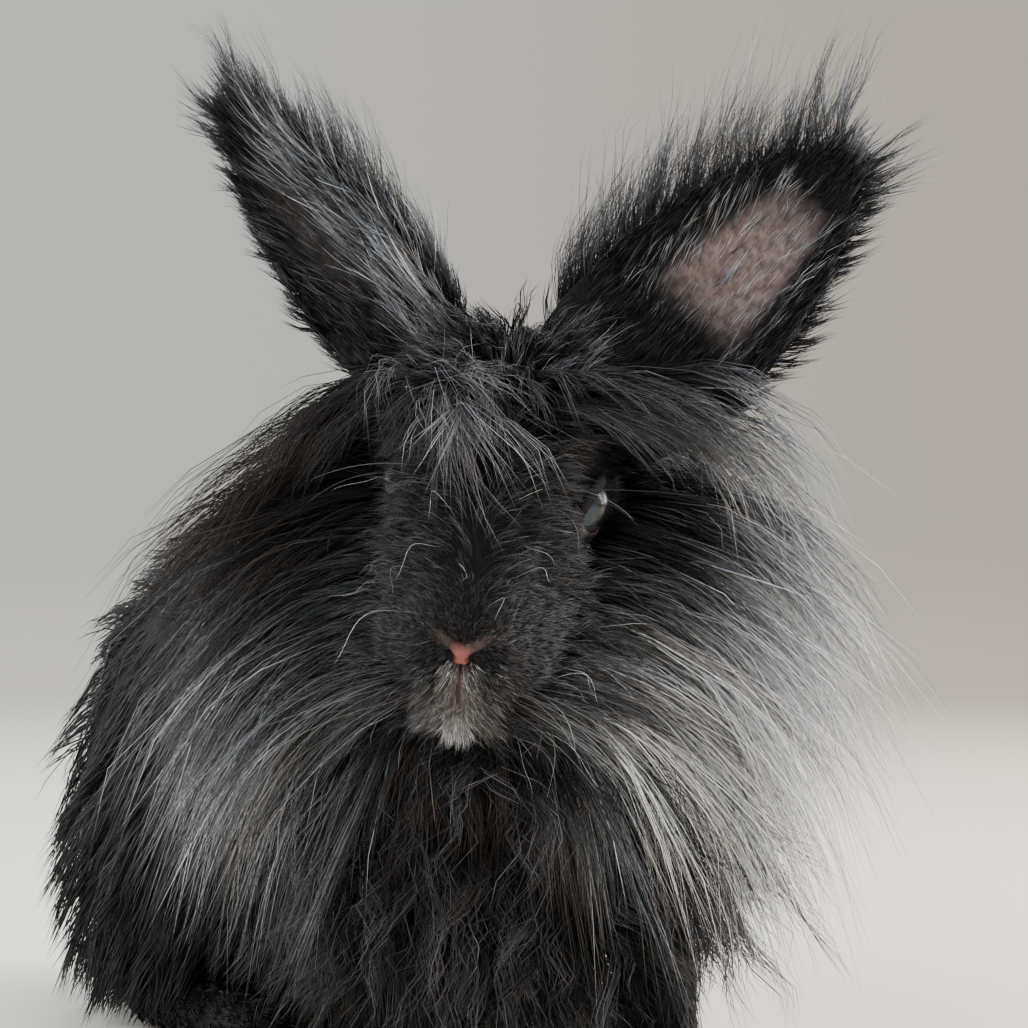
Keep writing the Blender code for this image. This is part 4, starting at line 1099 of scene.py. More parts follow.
class Coat:
    """Grows hairs out of the skin in clumps and meshes them as closed tapered strands."""

    def __init__(self, probe: Probe, draw: np.random.Generator, finish: Material) -> None:
        """Keep the skin's probe, the source of all small differences and the hair's material."""
        self.probe = probe
        self.draw = draw
        self.finish = finish
        self.total = 0

    def lines(self, hair: Hair, habit: Habit) -> Array:
        """The clumps' lines, (m, steps, 3): each turns evenly from start to end, and none enters the skin."""
        t = np.linspace(0.0, 1.0, LINE_STEPS)[None, :, None]
        count = len(hair)
        start = unit(hair.start + self.draw.normal(0.0, habit.clump_noise, (count, 3)))
        end = unit(hair.end + self.draw.normal(0.0, habit.clump_noise, (count, 3)))
        spread = self.draw.uniform(1 - habit.length_spread, 1 + 0.6 * habit.length_spread, (count, 1, 1))
        reach = hair.length[:, None, None] * spread
        line = hair.roots[:, None] + reach * (start[:, None] * (t - t**2 / 2) + end[:, None] * t**2 / 2)
        lift = habit.clearance * self.draw.uniform(0.3, 1.7, count)
        for _ in range(2):
            flat = line[:, 1:].reshape(-1, 3)
            _, out, height = self.probe.nearest(flat)
            wanted = (lift[:, None] * np.sqrt(t[0, 1:, 0])[None, :]).ravel()
            flat = flat + out * np.maximum(wanted - height, 0.0)[:, None]
            line[:, 1:] = flat.reshape(count, LINE_STEPS - 1, 3)
            line[:, 1:-1] = 0.5 * line[:, 1:-1] + 0.25 * (line[:, :-2] + line[:, 2:])
        return self.above_floor(line, habit.floor)

    @staticmethod
    def above_floor(line: Array, floor: float) -> Array:
        """Shorten the drop of the lines that would come under the floor's margin."""
        top = line[:, :1, 2]
        low = line[:, :, 2].min(axis=1, keepdims=True)
        share = np.where(low < floor, (top - floor) / np.maximum(top - low, 1e-6), 1.0)
        line[:, :, 2] = top - (top - line[:, :, 2]) * np.clip(share, 0.0, 1.0)
        return line

    def strands(self, hair: Hair, habit: Habit) -> tuple[Array, Array, Array]:
        """Every hair's own points, (n, segments + 1, 3), its clump's number and whether it strays."""
        draw, count = self.draw, len(hair)
        clumps = max(int(count / habit.per_clump), 1)
        chosen = draw.choice(count, clumps, replace=False)
        tree = KDTree(clumps)
        for index, point in enumerate(hair.roots[chosen].tolist()):
            tree.insert(point, index)
        tree.balance()
        clump = np.array([tree.find(point)[1] for point in hair.roots.tolist()])
        lines = self.lines(hair.kept(chosen), habit)
        share = draw.uniform(0.66, 1.0, count)
        t = np.linspace(0.0, 1.0, habit.segments + 1)[None, :]
        place = np.clip(t * share[:, None], 0, 1) * (LINE_STEPS - 1)
        low = np.minimum(place.astype(int), LINE_STEPS - 2)
        part = (place - low)[..., None]
        rows = clump[:, None]
        follow = lines[rows, low] * (1 - part) + lines[rows, low + 1] * part
        offset = (hair.roots - hair.roots[chosen][clump])[:, None]
        loose = draw.random(count) < habit.flyaway_share
        gather = np.where(loose, -0.35, habit.gather * draw.uniform(0.75, 1.1, count))[:, None, None]
        points = follow + offset * (1 - gather * t[..., None] ** 0.8)
        stray = unit(draw.normal(0.0, 1.0, (count, 3))) * np.where(loose, 3.0, 1.0)[:, None]
        amount = habit.hair_noise * hair.length[:, None, None]
        points = points + stray[:, None] * amount * t[..., None] ** 1.6
        points = points + self.waves(hair, clump, t, share, habit)
        points[:, 0] -= hair.out * 0.8
        points[..., 2] = np.maximum(points[..., 2], habit.floor * 0.6)
        return self.within(points), clump, loose

    @staticmethod
    def within(points: Array) -> Array:
        """Draw what passes the solids' box by more than REACH back to a fraction of how far it passes."""
        low, high = (np.array(corner) / MM - SHIFT for corner in CAD_BOUNDS)
        past = np.maximum(points - high - REACH, 0.0) - np.maximum(low - REACH - points, 0.0)
        return points - (1.0 - REACH_KEPT) * past

    def waves(self, hair: Hair, clump: Array, t: Array, share: Array, habit: Habit) -> Array:
        """A small wave across each hair: sines of the distance along it, in step within a clump."""
        draw = self.draw
        count = clump.max() + 1
        phase = draw.uniform(0, FULL_TURN, (count, 2))[clump] + draw.normal(0.0, 0.5, (len(hair), 2))
        pace = FULL_TURN / (habit.wave_length * draw.uniform(0.75, 1.4, count)[clump])
        distance = t * share[:, None] * hair.length[:, None]
        side = unit(np.cross(hair.start + hair.end, hair.out) + 1e-3)
        lift = unit(np.cross(side, hair.end))
        swing = np.sin(distance * pace[:, None] + phase[:, :1])[..., None] * side[:, None]
        swing = swing + 0.6 * np.sin(distance * pace[:, None] * 1.3 + phase[:, 1:])[..., None] * lift[:, None]
        return swing * (hair.wave[:, None] * smoothstep(0.0, 0.35, t))[..., None]

    def mesh(self, name: str, hair: Hair, habit: Habit, slot: Slot = Slot.COAT) -> None:
        """Make one coat piece: each strand is three-sided, widest near its root and pointed."""
        points, clump, loose = self.strands(hair, habit)
        count, rings = len(hair), habit.segments
        ahead = unit(np.gradient(points, axis=1))
        lean = unit(hair.out + self.draw.normal(0.0, 0.45, (count, 3)))
        side = unit(np.cross(ahead, lean[:, None]))
        up = np.cross(side, ahead)
        t = np.linspace(0.0, 1.0, rings + 1)
        taper = (0.55 + 1.6 * t) * (1 - t) ** 0.75
        taper = taper / taper.max()
        half = (hair.width[:, None] / 2 * taper[None, :])[..., None]
        turns = np.radians((90.0, 210.0, 330.0))
        stem, half, side, up = (rows[:, :-1] for rows in (points, half, side, habit.flatness * up))
        body = np.stack([stem + half * (math.cos(a) * side + math.sin(a) * up) for a in turns], axis=2)
        vertices = np.concatenate([body.reshape(count, rings * 3, 3), points[:, -1:]], axis=1)
        per = rings * 3 + 1
        ring = np.arange(rings - 1)[:, None] * 3
        k = np.arange(3)[None, :]
        a, b = ring + k, ring + (k + 1) % 3
        walls = np.stack([a, b, b + 3, a, b + 3, a + 3], axis=-1).reshape(-1, 3)
        last = (rings - 1) * 3
        tips = [(last + j, last + (j + 1) % 3, per - 1) for j in range(3)]
        template = np.vstack([[(0, 2, 1)], walls, tips])
        faces = (template[None] + np.arange(count)[:, None, None] * per).reshape(-1, 3)
        colours = self.tints(hair, clump, loose, t, rings)
        unwrap = self.patches(hair, rings)
        make_piece(name, vertices.reshape(-1, 3), faces, self.finish, slot, colours, unwrap)
        self.total += len(faces)

    def tints(self, hair: Hair, clump: Array, loose: Array, t: Array, rings: int) -> Array:
        """Each point's colour: dark to pale along the hair, varied by clump and hair, stray hairs paler."""
        draw, count = self.draw, len(hair)
        level = np.exp(draw.normal(0.0, 0.30, clump.max() + 1))[clump]
        level = level * np.exp(draw.normal(-0.08, 0.55, count)) * np.where(loose, STRAY_LIGHT, 1.0)
        warm = draw.normal(0.0, 0.05, clump.max() + 1)[clump]
        tint = level[:, None] * np.stack([1 + warm, np.ones(count), 1 - warm], axis=-1)
        share = smoothstep(0.0, 0.65, t[None, :] - hair.pale_from[:, None])[..., None]
        colours = (hair.dark[:, None] * (1 - share) + hair.pale[:, None] * share) * tint[:, None]
        body = np.repeat(colours[:, :rings], 3, axis=1)
        return np.concatenate([body, colours[:, -1:]], axis=1).reshape(-1, 3)

    def patches(self, hair: Hair, rings: int) -> Array:
        """Each strand's small patch of the bake's map, at its root's place."""
        across = np.concatenate([np.tile(np.arange(3) / 2.0, rings), [0.5]])
        lengthways = np.concatenate([np.repeat(np.arange(rings) / rings, 3), [1.0]])
        patch = np.stack([across, lengthways], axis=-1) * PATCH_SIZE
        corner = 0.001 + hair.unwrap * (0.998 - PATCH_SIZE)
        return (corner[:, None] + patch[None]).reshape(-1, 2)


@dataclass(frozen=True)
class Growth:
    """How hair leaves the skin at one place of a surface and bends over.

    The start direction is out of the skin, then sideways, back and up; the end is sideways, back and up.
    """

    length: float
    start: tuple[float, float, float, float]
    end: tuple[float, float, float]
    dark: Colour = PALETTE.black
    pale: Colour = PALETTE.charcoal
    width: float = 0.30
    wave: float = 0.5
    pale_from: float = 0.08  # the share of the length where the pale tip starts

    def row(self) -> Array:
        """All of it as one row of numbers."""
        return np.array((self.length, *self.start, *self.end, *self.dark, *self.pale, self.width, self.wave,
                         self.pale_from))


def grown(
    surface: Rings, probe: Probe, along: Array, angle: Array, rows: Array, axes: Array,
    span: tuple, arc: tuple, reach: float = NEAR_SKIN,
) -> Hair:
    """Hairs on a surface from their places and their rows of growth.

    Args:
        surface: what they grow from.
        probe: the finished skin, which they are set on; those that lie under it are left out.
        along: places along the surface.
        angle: places round it, in radians from its top.
        rows: (n, 17) rows as Growth.row gives them.
        axes: the sideways, back and up that the rows mean.
        span: the part of the surface along it, for the bake's map.
        arc: the part round it, in degrees.
        reach: how far the finished skin may be from the surface.

    Returns:
        The hairs that stand on the finished skin.
    """
    points, out = surface.at(along, angle)
    near, normal, _ = probe.nearest(points)
    fits = np.linalg.norm(points - near, axis=1) < reach
    sign = np.sign(np.sin(angle))
    turn = np.where(np.abs(np.sin(angle)) < 0.25, np.sin(angle) * 4.0, sign)[:, None]
    out = unit(out + normal)
    sideways = np.outer(np.ones(len(along)), axes[:, 0])
    start = out * rows[:, 1:2] + sideways * turn * rows[:, 2:3] + rows[:, 3:5] @ axes[:, 1:].T
    end = sideways * turn * rows[:, 5:6] + rows[:, 6:8] @ axes[:, 1:].T
    u = (along - span[0]) / (span[1] - span[0])
    v = (np.degrees(angle) - arc[0]) / (arc[1] - arc[0])
    return Hair.of(rows, near, out, start, end, stacked(len(along), u, v)).kept(fits)


@dataclass(frozen=True)
class ManeKey:
    """The mane at one angle from the top of the head: where it starts to lengthen, is full and ends."""

    angle: float
    first: float
    full: float
    last: float
    growth: Growth


# pale tips on the lit side: real pale hairs, partly a painted highlight
PEARL_AND_HIGHLIGHT = (0.74, 0.75, 0.78)
# Under the jaw both sides are alike
UNDER_JAW = (
    ManeKey(166.0, 0.22, 0.38, 0.66, Growth(60, (0.65, 0.1, -0.2, -0.4), (0.03, -0.1, -1.0), BLACK, UMBER)),
    ManeKey(180.0, 0.24, 0.38, 0.62, Growth(54, (0.6, 0.0, -0.2, -0.5), (0.0, -0.1, -1.0), BLACK, UMBER)),
)
# the sides differ by painted light as well as by their own colour: the left's silver and pearl tips are
# partly painted highlight, the right's umber tips partly painted shade
MANE = {
    Side.LEFT: (
        ManeKey(0.0, 0.52, 0.62, 0.74, Growth(44, (0.25, 0.6, -0.8, 0.1), (0.45, -0.55, -0.75), BLACK, ASH)),
        ManeKey(12.0, 0.5, 0.62, 0.74, Growth(54, (0.25, 0.9, -0.55, 0.05), (0.75, -0.2, -0.65))),
        ManeKey(32.0, 0.6, 0.68, 0.76, Growth(
            70, (0.3, 0.8, -0.3, 0.05), (0.36, -0.1, -0.9), BLACK, GREY, 0.28, 0.6, 0.4)),
        ManeKey(55.0, 0.7, 0.8, 0.95, Growth(
            96, (0.4, 0.62, 0.0, 0.0), (0.22, -0.05, -0.95), BLACK, SILVER, 0.26, 0.6, 0.4)),
        ManeKey(78.0, 0.8, 0.87, 0.97, Growth(
            106, (0.5, 0.5, 0.05, -0.1), (0.15, -0.05, -1.0), BLACK, SILVER, 0.3, 0.6, 0.4)),
        ManeKey(98.0, 0.3, 0.82, 0.96, Growth(
            108, (0.65, 0.7, 0.1, -0.15), (0.14, -0.06, -1.0), BLACK, SILVER, 0.28, 0.6, 0.2)),
        ManeKey(115.0, 0.12, 0.6, 0.95, Growth(
            116, (0.65, 0.8, 0.15, -0.15), (0.16, -0.08, -1.0), ASH, PEARL_AND_HIGHLIGHT, 0.28, 0.5, -0.1)),
        ManeKey(135.0, 0.1, 0.5, 0.9, Growth(
            110, (0.7, 0.7, 0.05, -0.25), (0.12, -0.1, -1.0), ASH, PEARL_AND_HIGHLIGHT, 0.28, 0.5, -0.1)),
        ManeKey(150.0, 0.2, 0.44, 0.8, Growth(
            88, (0.7, 0.25, -0.1, -0.35), (0.08, -0.1, -1.0), CHARCOAL, GREY)),
        *UNDER_JAW,
    ),
    Side.RIGHT: (
        ManeKey(0.0, 0.5, 0.6, 0.72, Growth(46, (0.25, 0.2, -1.0, 0.05), (0.1, -0.5, -0.85), BLACK, ASH)),
        ManeKey(10.0, 0.5, 0.6, 0.72, Growth(48, (0.25, 0.5, -0.85, 0.05), (0.3, -0.4, -0.85), BLACK, ASH)),
        ManeKey(30.0, 0.56, 0.66, 0.76, Growth(58, (0.25, 0.7, -0.5, -0.05), (0.3, -0.2, -0.95))),
        ManeKey(55.0, 0.7, 0.8, 0.95, Growth(
            84, (0.3, 0.6, -0.1, -0.15), (0.26, -0.05, -1.0), BLACK, UMBER, 0.3, 0.6, 0.4)),
        ManeKey(78.0, 0.8, 0.87, 0.97, Growth(
            102, (0.5, 0.5, 0.05, -0.2), (0.24, -0.05, -1.0), BLACK, UMBER, 0.3, 0.6, 0.4)),
        ManeKey(98.0, 0.3, 0.82, 0.96, Growth(100, (0.6, 0.6, 0.1, -0.2), (0.2, -0.06, -1.0), BLACK, UMBER)),
        ManeKey(115.0, 0.12, 0.6, 0.95, Growth(
            112, (0.6, 0.7, 0.15, -0.2), (0.16, -0.08, -1.0), BLACK, GREY)),
        ManeKey(135.0, 0.1, 0.5, 0.9, Growth(
            110, (0.7, 0.6, 0.05, -0.25), (0.12, -0.1, -1.0), CHARCOAL, SILVER)),
        ManeKey(150.0, 0.2, 0.44, 0.8, Growth(
            88, (0.7, 0.2, -0.1, -0.35), (0.08, -0.1, -1.0), CHARCOAL, GREY)),
        *UNDER_JAW,
    ),
}
CROWN_TUFT = Growth(21, (0.6, 0.4, -0.6, 0.4), (0.6, -0.5, 0.0), BLACK, GREY, 0.22, 0.6)
NAPE = Growth(30, (0.5, 0.35, 0.8, 0.2), (0.30, 0.8, -0.45), BLACK, CHARCOAL, 0.42, 0.5)
FORELOCK = Growth(68, (0.3, -0.12, -1.0, 0.1), (-0.36, -0.60, -0.80), CHARCOAL, (0.13, 0.13, 0.14), 0.16, 0.6)
FACE_SHORT = Growth(5.6, (0.55, 0.30, 1.0, 0.1), (0.30, 1.0, 0.05), BLACK, SMOKE, 0.16, 0.12)
FACE_LONG = Growth(19.0, (0.60, 0.55, 0.7, 0.1), (0.60, 0.60, -0.40), BLACK, SMOKE, 0.21, 0.4)
BRIDGE_HAIR = Growth(4.2, (0.6, 0.4, 0.2, 0.9), (0.4, 0.6, 0.7), BLACK, SMOKE, 0.13, 0.1)
WING_HAIR = Growth(4.4, (0.7, 0.9, 0.2, -0.3), (0.9, 0.4, -0.5), BLACK, SMOKE, 0.14, 0.1)
LIP_HAIR = Growth(6.6, (0.7, 0.9, 0.1, -0.4), (0.9, 0.3, -0.9), SMOKE, (0.17, 0.16, 0.155), 0.08, 0.2)
NOSE_HAIR = Growth(3.4, (0.7, 0.5, 0.0, -0.7), (0.3, -0.1, -1.0), SILVER, WHITE, 0.10, 0.08)
CHIN_HAIR = Growth(5.2, (0.8, 0.3, -0.1, -0.7), (0.2, 0.1, -1.0), GREY, WHITE, 0.10, 0.1)
WING_FUZZ = Growth(3.0, (0.6, 0.5, 0.3, 0.6), (0.4, 0.5, 0.5), BLACK, (0.09, 0.070, 0.062), 0.08, 0.1)
LIP_TINTS = ((0.1, 0.08, 0.074), (0.24, 0.22, 0.21))
LIP_FUZZ = Growth(3.2, (0.5, 0.6, 0.1, -0.5), (0.5, 0.3, -1.0), *LIP_TINTS, 0.08, 0.1)
STRAY = Growth(26.0, (0.5, 0.3, 0.2, 0.1), (0.2, -0.2, -0.9), GREY, WHITE, 0.09, 1.5)
SHORT_HAIR = 8.4
LONG_HAIR = 24.0
EYE_CLEARING = (8.4, 7.0)  # half the length and height of the bare patch round an eye
EYE_ROOM = 8.6  # within this distance of an eye's middle hair is shortest
SHORTEST = {Side.LEFT: 0.8, Side.RIGHT: 12.0}  # hair hides the right eye


@dataclass
class HeadCoat:
    """The hair of the head: short on the face, longer over cheeks and brow, and the mane."""

    anatomy: Anatomy
    coat: Coat
    short_count: int = 24500
    middle_count: int = 25500
    mane_count: int = 28500
    crown_count: int = 1200
    nape_count: int = 1800
    whole: tuple = (0.0, 0.97)
    muzzle: tuple = (0.0, 0.34)

    @staticmethod
    def rows(along: Array, angle: Array) -> Array:
        """Rows of growth over the head: the face's, blended into the mane's key by key round the head."""
        turned = np.degrees(np.abs((angle + math.pi) % FULL_TURN - math.pi))
        made = np.zeros((len(along), len(FACE_SHORT.row())))
        for side, keys in MANE.items():
            places = [key.angle for key in keys]
            here = np.sin(angle) * side.value >= 0
            first, full, last = (
                np.interp(turned[here], places, [getattr(key, name) for key in keys])
                for name in ("first", "full", "last")
            )
            place = along[here]
            longer = smoothstep(0.12, 1.0, np.clip(place / first, 0, 1.2))
            face = blend(FACE_SHORT.row(), FACE_LONG.row(), longer)
            face[:, 11:14] = HeadCoat.face_tips(place, turned[here], face[:, 11:14])
            table = np.array([key.growth.row() for key in keys])
            mane = np.stack([np.interp(turned[here], places, column) for column in table.T], axis=-1)
            share = smoothstep(0.0, 1.0, (place - first) / (full - first)) * (place < last)
            rows = blend(face, mane, share)
            rows[:, 8:14] = blend(face[:, 8:14], mane[:, 8:14], share**1.6)
            made[here] = rows
        return made

    @staticmethod
    def face_tips(along: Array, turned: Array, tips: Array) -> Array:
        """Tips of the face's hairs: tan beside the nose and mouth, white on the chin, grey on the brow, and
        black behind the eyes as painted shade in the recess there.
        """
        tips = blend(tips, PALETTE.tan, np.exp(-((along / 0.05) ** 2)) * 0.35)
        chin = np.exp(-(((along - 0.035) / 0.04) ** 2)) * smoothstep(158.0, 174.0, turned)
        tips = blend(tips, PALETTE.white, chin * 0.8)
        brow = np.exp(-(((along - 0.50) / 0.14) ** 2)) * (1 - smoothstep(20.0, 50.0, turned))
        tips = blend(tips, GREY, brow * 0.3)
        # painted shade: black tips in the recess behind each eye
        behind = np.exp(-(((along - 0.70) / 0.07) ** 2 + ((turned - 78.0) / 32.0) ** 2))
        tips = blend(tips, BLACK, np.clip(1.6 * behind, 0.0, 1.0))
        under = np.exp(-(((along - 0.50) / 0.07) ** 2 + ((turned - 104.0) / 14.0) ** 2))
        return blend(tips, (0.060, 0.072, 0.082), 0.7 * under)

    @staticmethod
    def bare(roots: Array) -> Array:
        """True for roots that are clear of the eyes, the nose leather and the slit under it."""
        local = to_head(roots)
        clear = np.ones(len(roots), bool)
        for side in Side:
            away = local - side.mirrored(EYE_CENTRE)
            clear &= np.hypot(away[:, 1] / EYE_CLEARING[0], away[:, 2] / EYE_CLEARING[1]) > 1.0
        x, z = local[:, 0], local[:, 2]
        front = local[:, 1] < -40.0
        return clear & ~(front & (Muzzle.leather(x, z) > 0.56))

    def hair(self, count: int, span: tuple, arc: tuple, low: float, high: float) -> Hair:
        """Hairs whose length lies between two bounds, over a span and an arc of the head."""
        along, angle = self.anatomy.head.scatter(count, self.coat.draw, span, arc)
        rows = self.rows(along, angle)
        fits = (rows[:, 0] >= low) & (rows[:, 0] < high)
        reach = NEAR_SKIN if high <= LONG_HAIR else 14.0
        hair = grown(
            self.anatomy.head, self.coat.probe, along[fits], angle[fits], rows[fits], HEAD_AXES,
            span, arc, reach,
        )
        if high <= LONG_HAIR:
            hair.length = np.minimum(hair.length, self.room(hair.roots))
        return hair.kept(self.bare(hair.roots))

    @staticmethod
    def room(roots: Array) -> Array:
        """How long a hair may be so that it doesn't lie over the eye."""
        local = to_head(roots)
        away = np.hypot(local[:, 1] - EYE_CENTRE[1], local[:, 2] - EYE_CENTRE[2])
        least = np.where(local[:, 0] > 0, SHORTEST[Side.LEFT], SHORTEST[Side.RIGHT])
        room = least + 0.8 * np.maximum(away - EYE_ROOM, 0.0)
        return np.where(np.abs(local[:, 0]) > 11.0, room, LONG_HAIR)

    def tuft(self, count: int, growth: Growth, span: tuple, arc: tuple, reach: float = 4.0) -> Hair:
        """Hairs of one growth over a span and an arc of the head."""
        along, angle = self.anatomy.head.scatter(count, self.coat.draw, span, arc)
        rows = np.tile(growth.row(), (len(along), 1))
        return grown(self.anatomy.head, self.coat.probe, along, angle, rows, HEAD_AXES, span, arc, reach)

    def front(
        self, count: int, growth: Growth, half: float, low: float, high: float, lift: float = 0.0,
    ) -> Hair:
        """Hairs of one growth on the front of the muzzle.

        Args:
            count: how many.
            growth: how they grow.
            half: half the width of their patch.
            low: the patch's lowest place, in the head's frame.
            high: its highest place.
            lift: how far the roots stand out, to reach the relief's own skin.

        Returns:
            The hairs.
        """
        draw = self.coat.draw
        x, z = draw.uniform(-half, half, count), draw.uniform(low, high, count)
        origins = from_head(stacked(count, x, BEFORE_FACE, z))
        roots, out = self.coat.probe.ahead(origins, HEAD_TURN[:, 1])
        row = growth.row()
        turn = np.clip(x / 2.0, -1.0, 1.0)[:, None]
        across, back, up = HEAD_AXES[:, 0], HEAD_AXES[:, 1], HEAD_AXES[:, 2]
        start = out * row[1] + turn * row[2] * across + row[3] * back + row[4] * up
        end = turn * row[5] * across + row[6] * back + row[7] * up
        unwrap = stacked(count, x / (2 * half) + 0.5, (z - low) / (high - low))
        return Hair.of(np.tile(row, (count, 1)), roots + lift * out, out, start, end, unwrap)

    def build(self) -> None:
        """Mesh the face's and the mane's hair."""
        mesh = self.coat.mesh
        hairs = self.hair(self.short_count, self.muzzle, ALL_ROUND, 0.0, SHORT_HAIR)
        mesh("coat_face_short", hairs, SHORT_HABIT)
        hairs = self.hair(self.middle_count, self.whole, ALL_ROUND, SHORT_HAIR, LONG_HAIR)
        mesh("coat_face_long", hairs, LONG_HABIT)
        mesh("coat_mouth", self.mouth(), MOUTH_HABIT)
        for side in Side:
            for part, arc, share in (("upper", (0.0, 86.0), 0.38), ("lower", (86.0, 180.0), 0.62)):
                if side is Side.RIGHT:
                    arc = (-arc[1], -arc[0])
                hairs = self.hair(int(self.mane_count * share / 2), self.whole, arc, LONG_HAIR, math.inf)
                mesh(f"mane_{part}_{side.word}", hairs, MANE_HABIT, Slot.MANE)
        tufts = Hair.joined([
            self.tuft(self.crown_count, CROWN_TUFT, (0.66, 0.95), (-34.0, 34.0)),
            self.tuft(420, FORELOCK, (0.59, 0.65), (-33.0, -20.0)),
            self.tuft(self.nape_count, NAPE, (0.74, 1.0), (-110.0, 110.0), 9.0),
        ])
        mesh("mane_crown", tufts, CROWN_HABIT, Slot.MANE)
        stray = Hair.joined([
            self.tuft(14, STRAY, (0.12, 0.45), (-70.0, 60.0)),
            self.tuft(16, STRAY, (0.12, 0.30), (90.0, 160.0)),
            self.tuft(14, STRAY, (0.20, 0.80), (-160.0, -95.0)),
        ])
        mesh("coat_stray", stray.kept(self.bare(stray.roots)), STRAY_HABIT)

    def mouth(self) -> Hair:
        """The finest hairs: over and beside the nose, on lips and chin, and the fuzz on the bare skin."""
        furred = Hair.joined([
            self.front(1500, BRIDGE_HAIR, 9.5, -13.5, -4.0), self.front(1500, WING_HAIR, 10.5, -24.0, -10.0),
            self.front(1500, LIP_HAIR, 8.5, -36.0, -17.0), self.front(170, NOSE_HAIR, 3.2, -19.5, -15.5),
            self.front(340, CHIN_HAIR, 2.4, -37.0, -32.0),
        ])
        furred = furred.kept(self.bare(furred.roots))
        fuzz = Hair.joined([
            self.front(1500, WING_FUZZ, 9.5, -14.0, -5.0, 1.0),
            self.front(900, LIP_FUZZ, 4.4, -31.0, -17.5, 1.0),
        ])
        local = to_head(fuzz.roots)
        _, _, wing, pad = Muzzle.parts(local[:, 0], local[:, 2])
        low = (local[:, 2] < -17.0) & (np.abs(local[:, 0]) > 0.35)
        return Hair.joined([furred, fuzz.kept(((wing > 0.15) | low) & (pad < 0.3))])


VEIL_GREY = (0.23, 0.235, 0.25)
PALE_FROM = 0.1  # the share of an ear hair's length where its pale tip starts


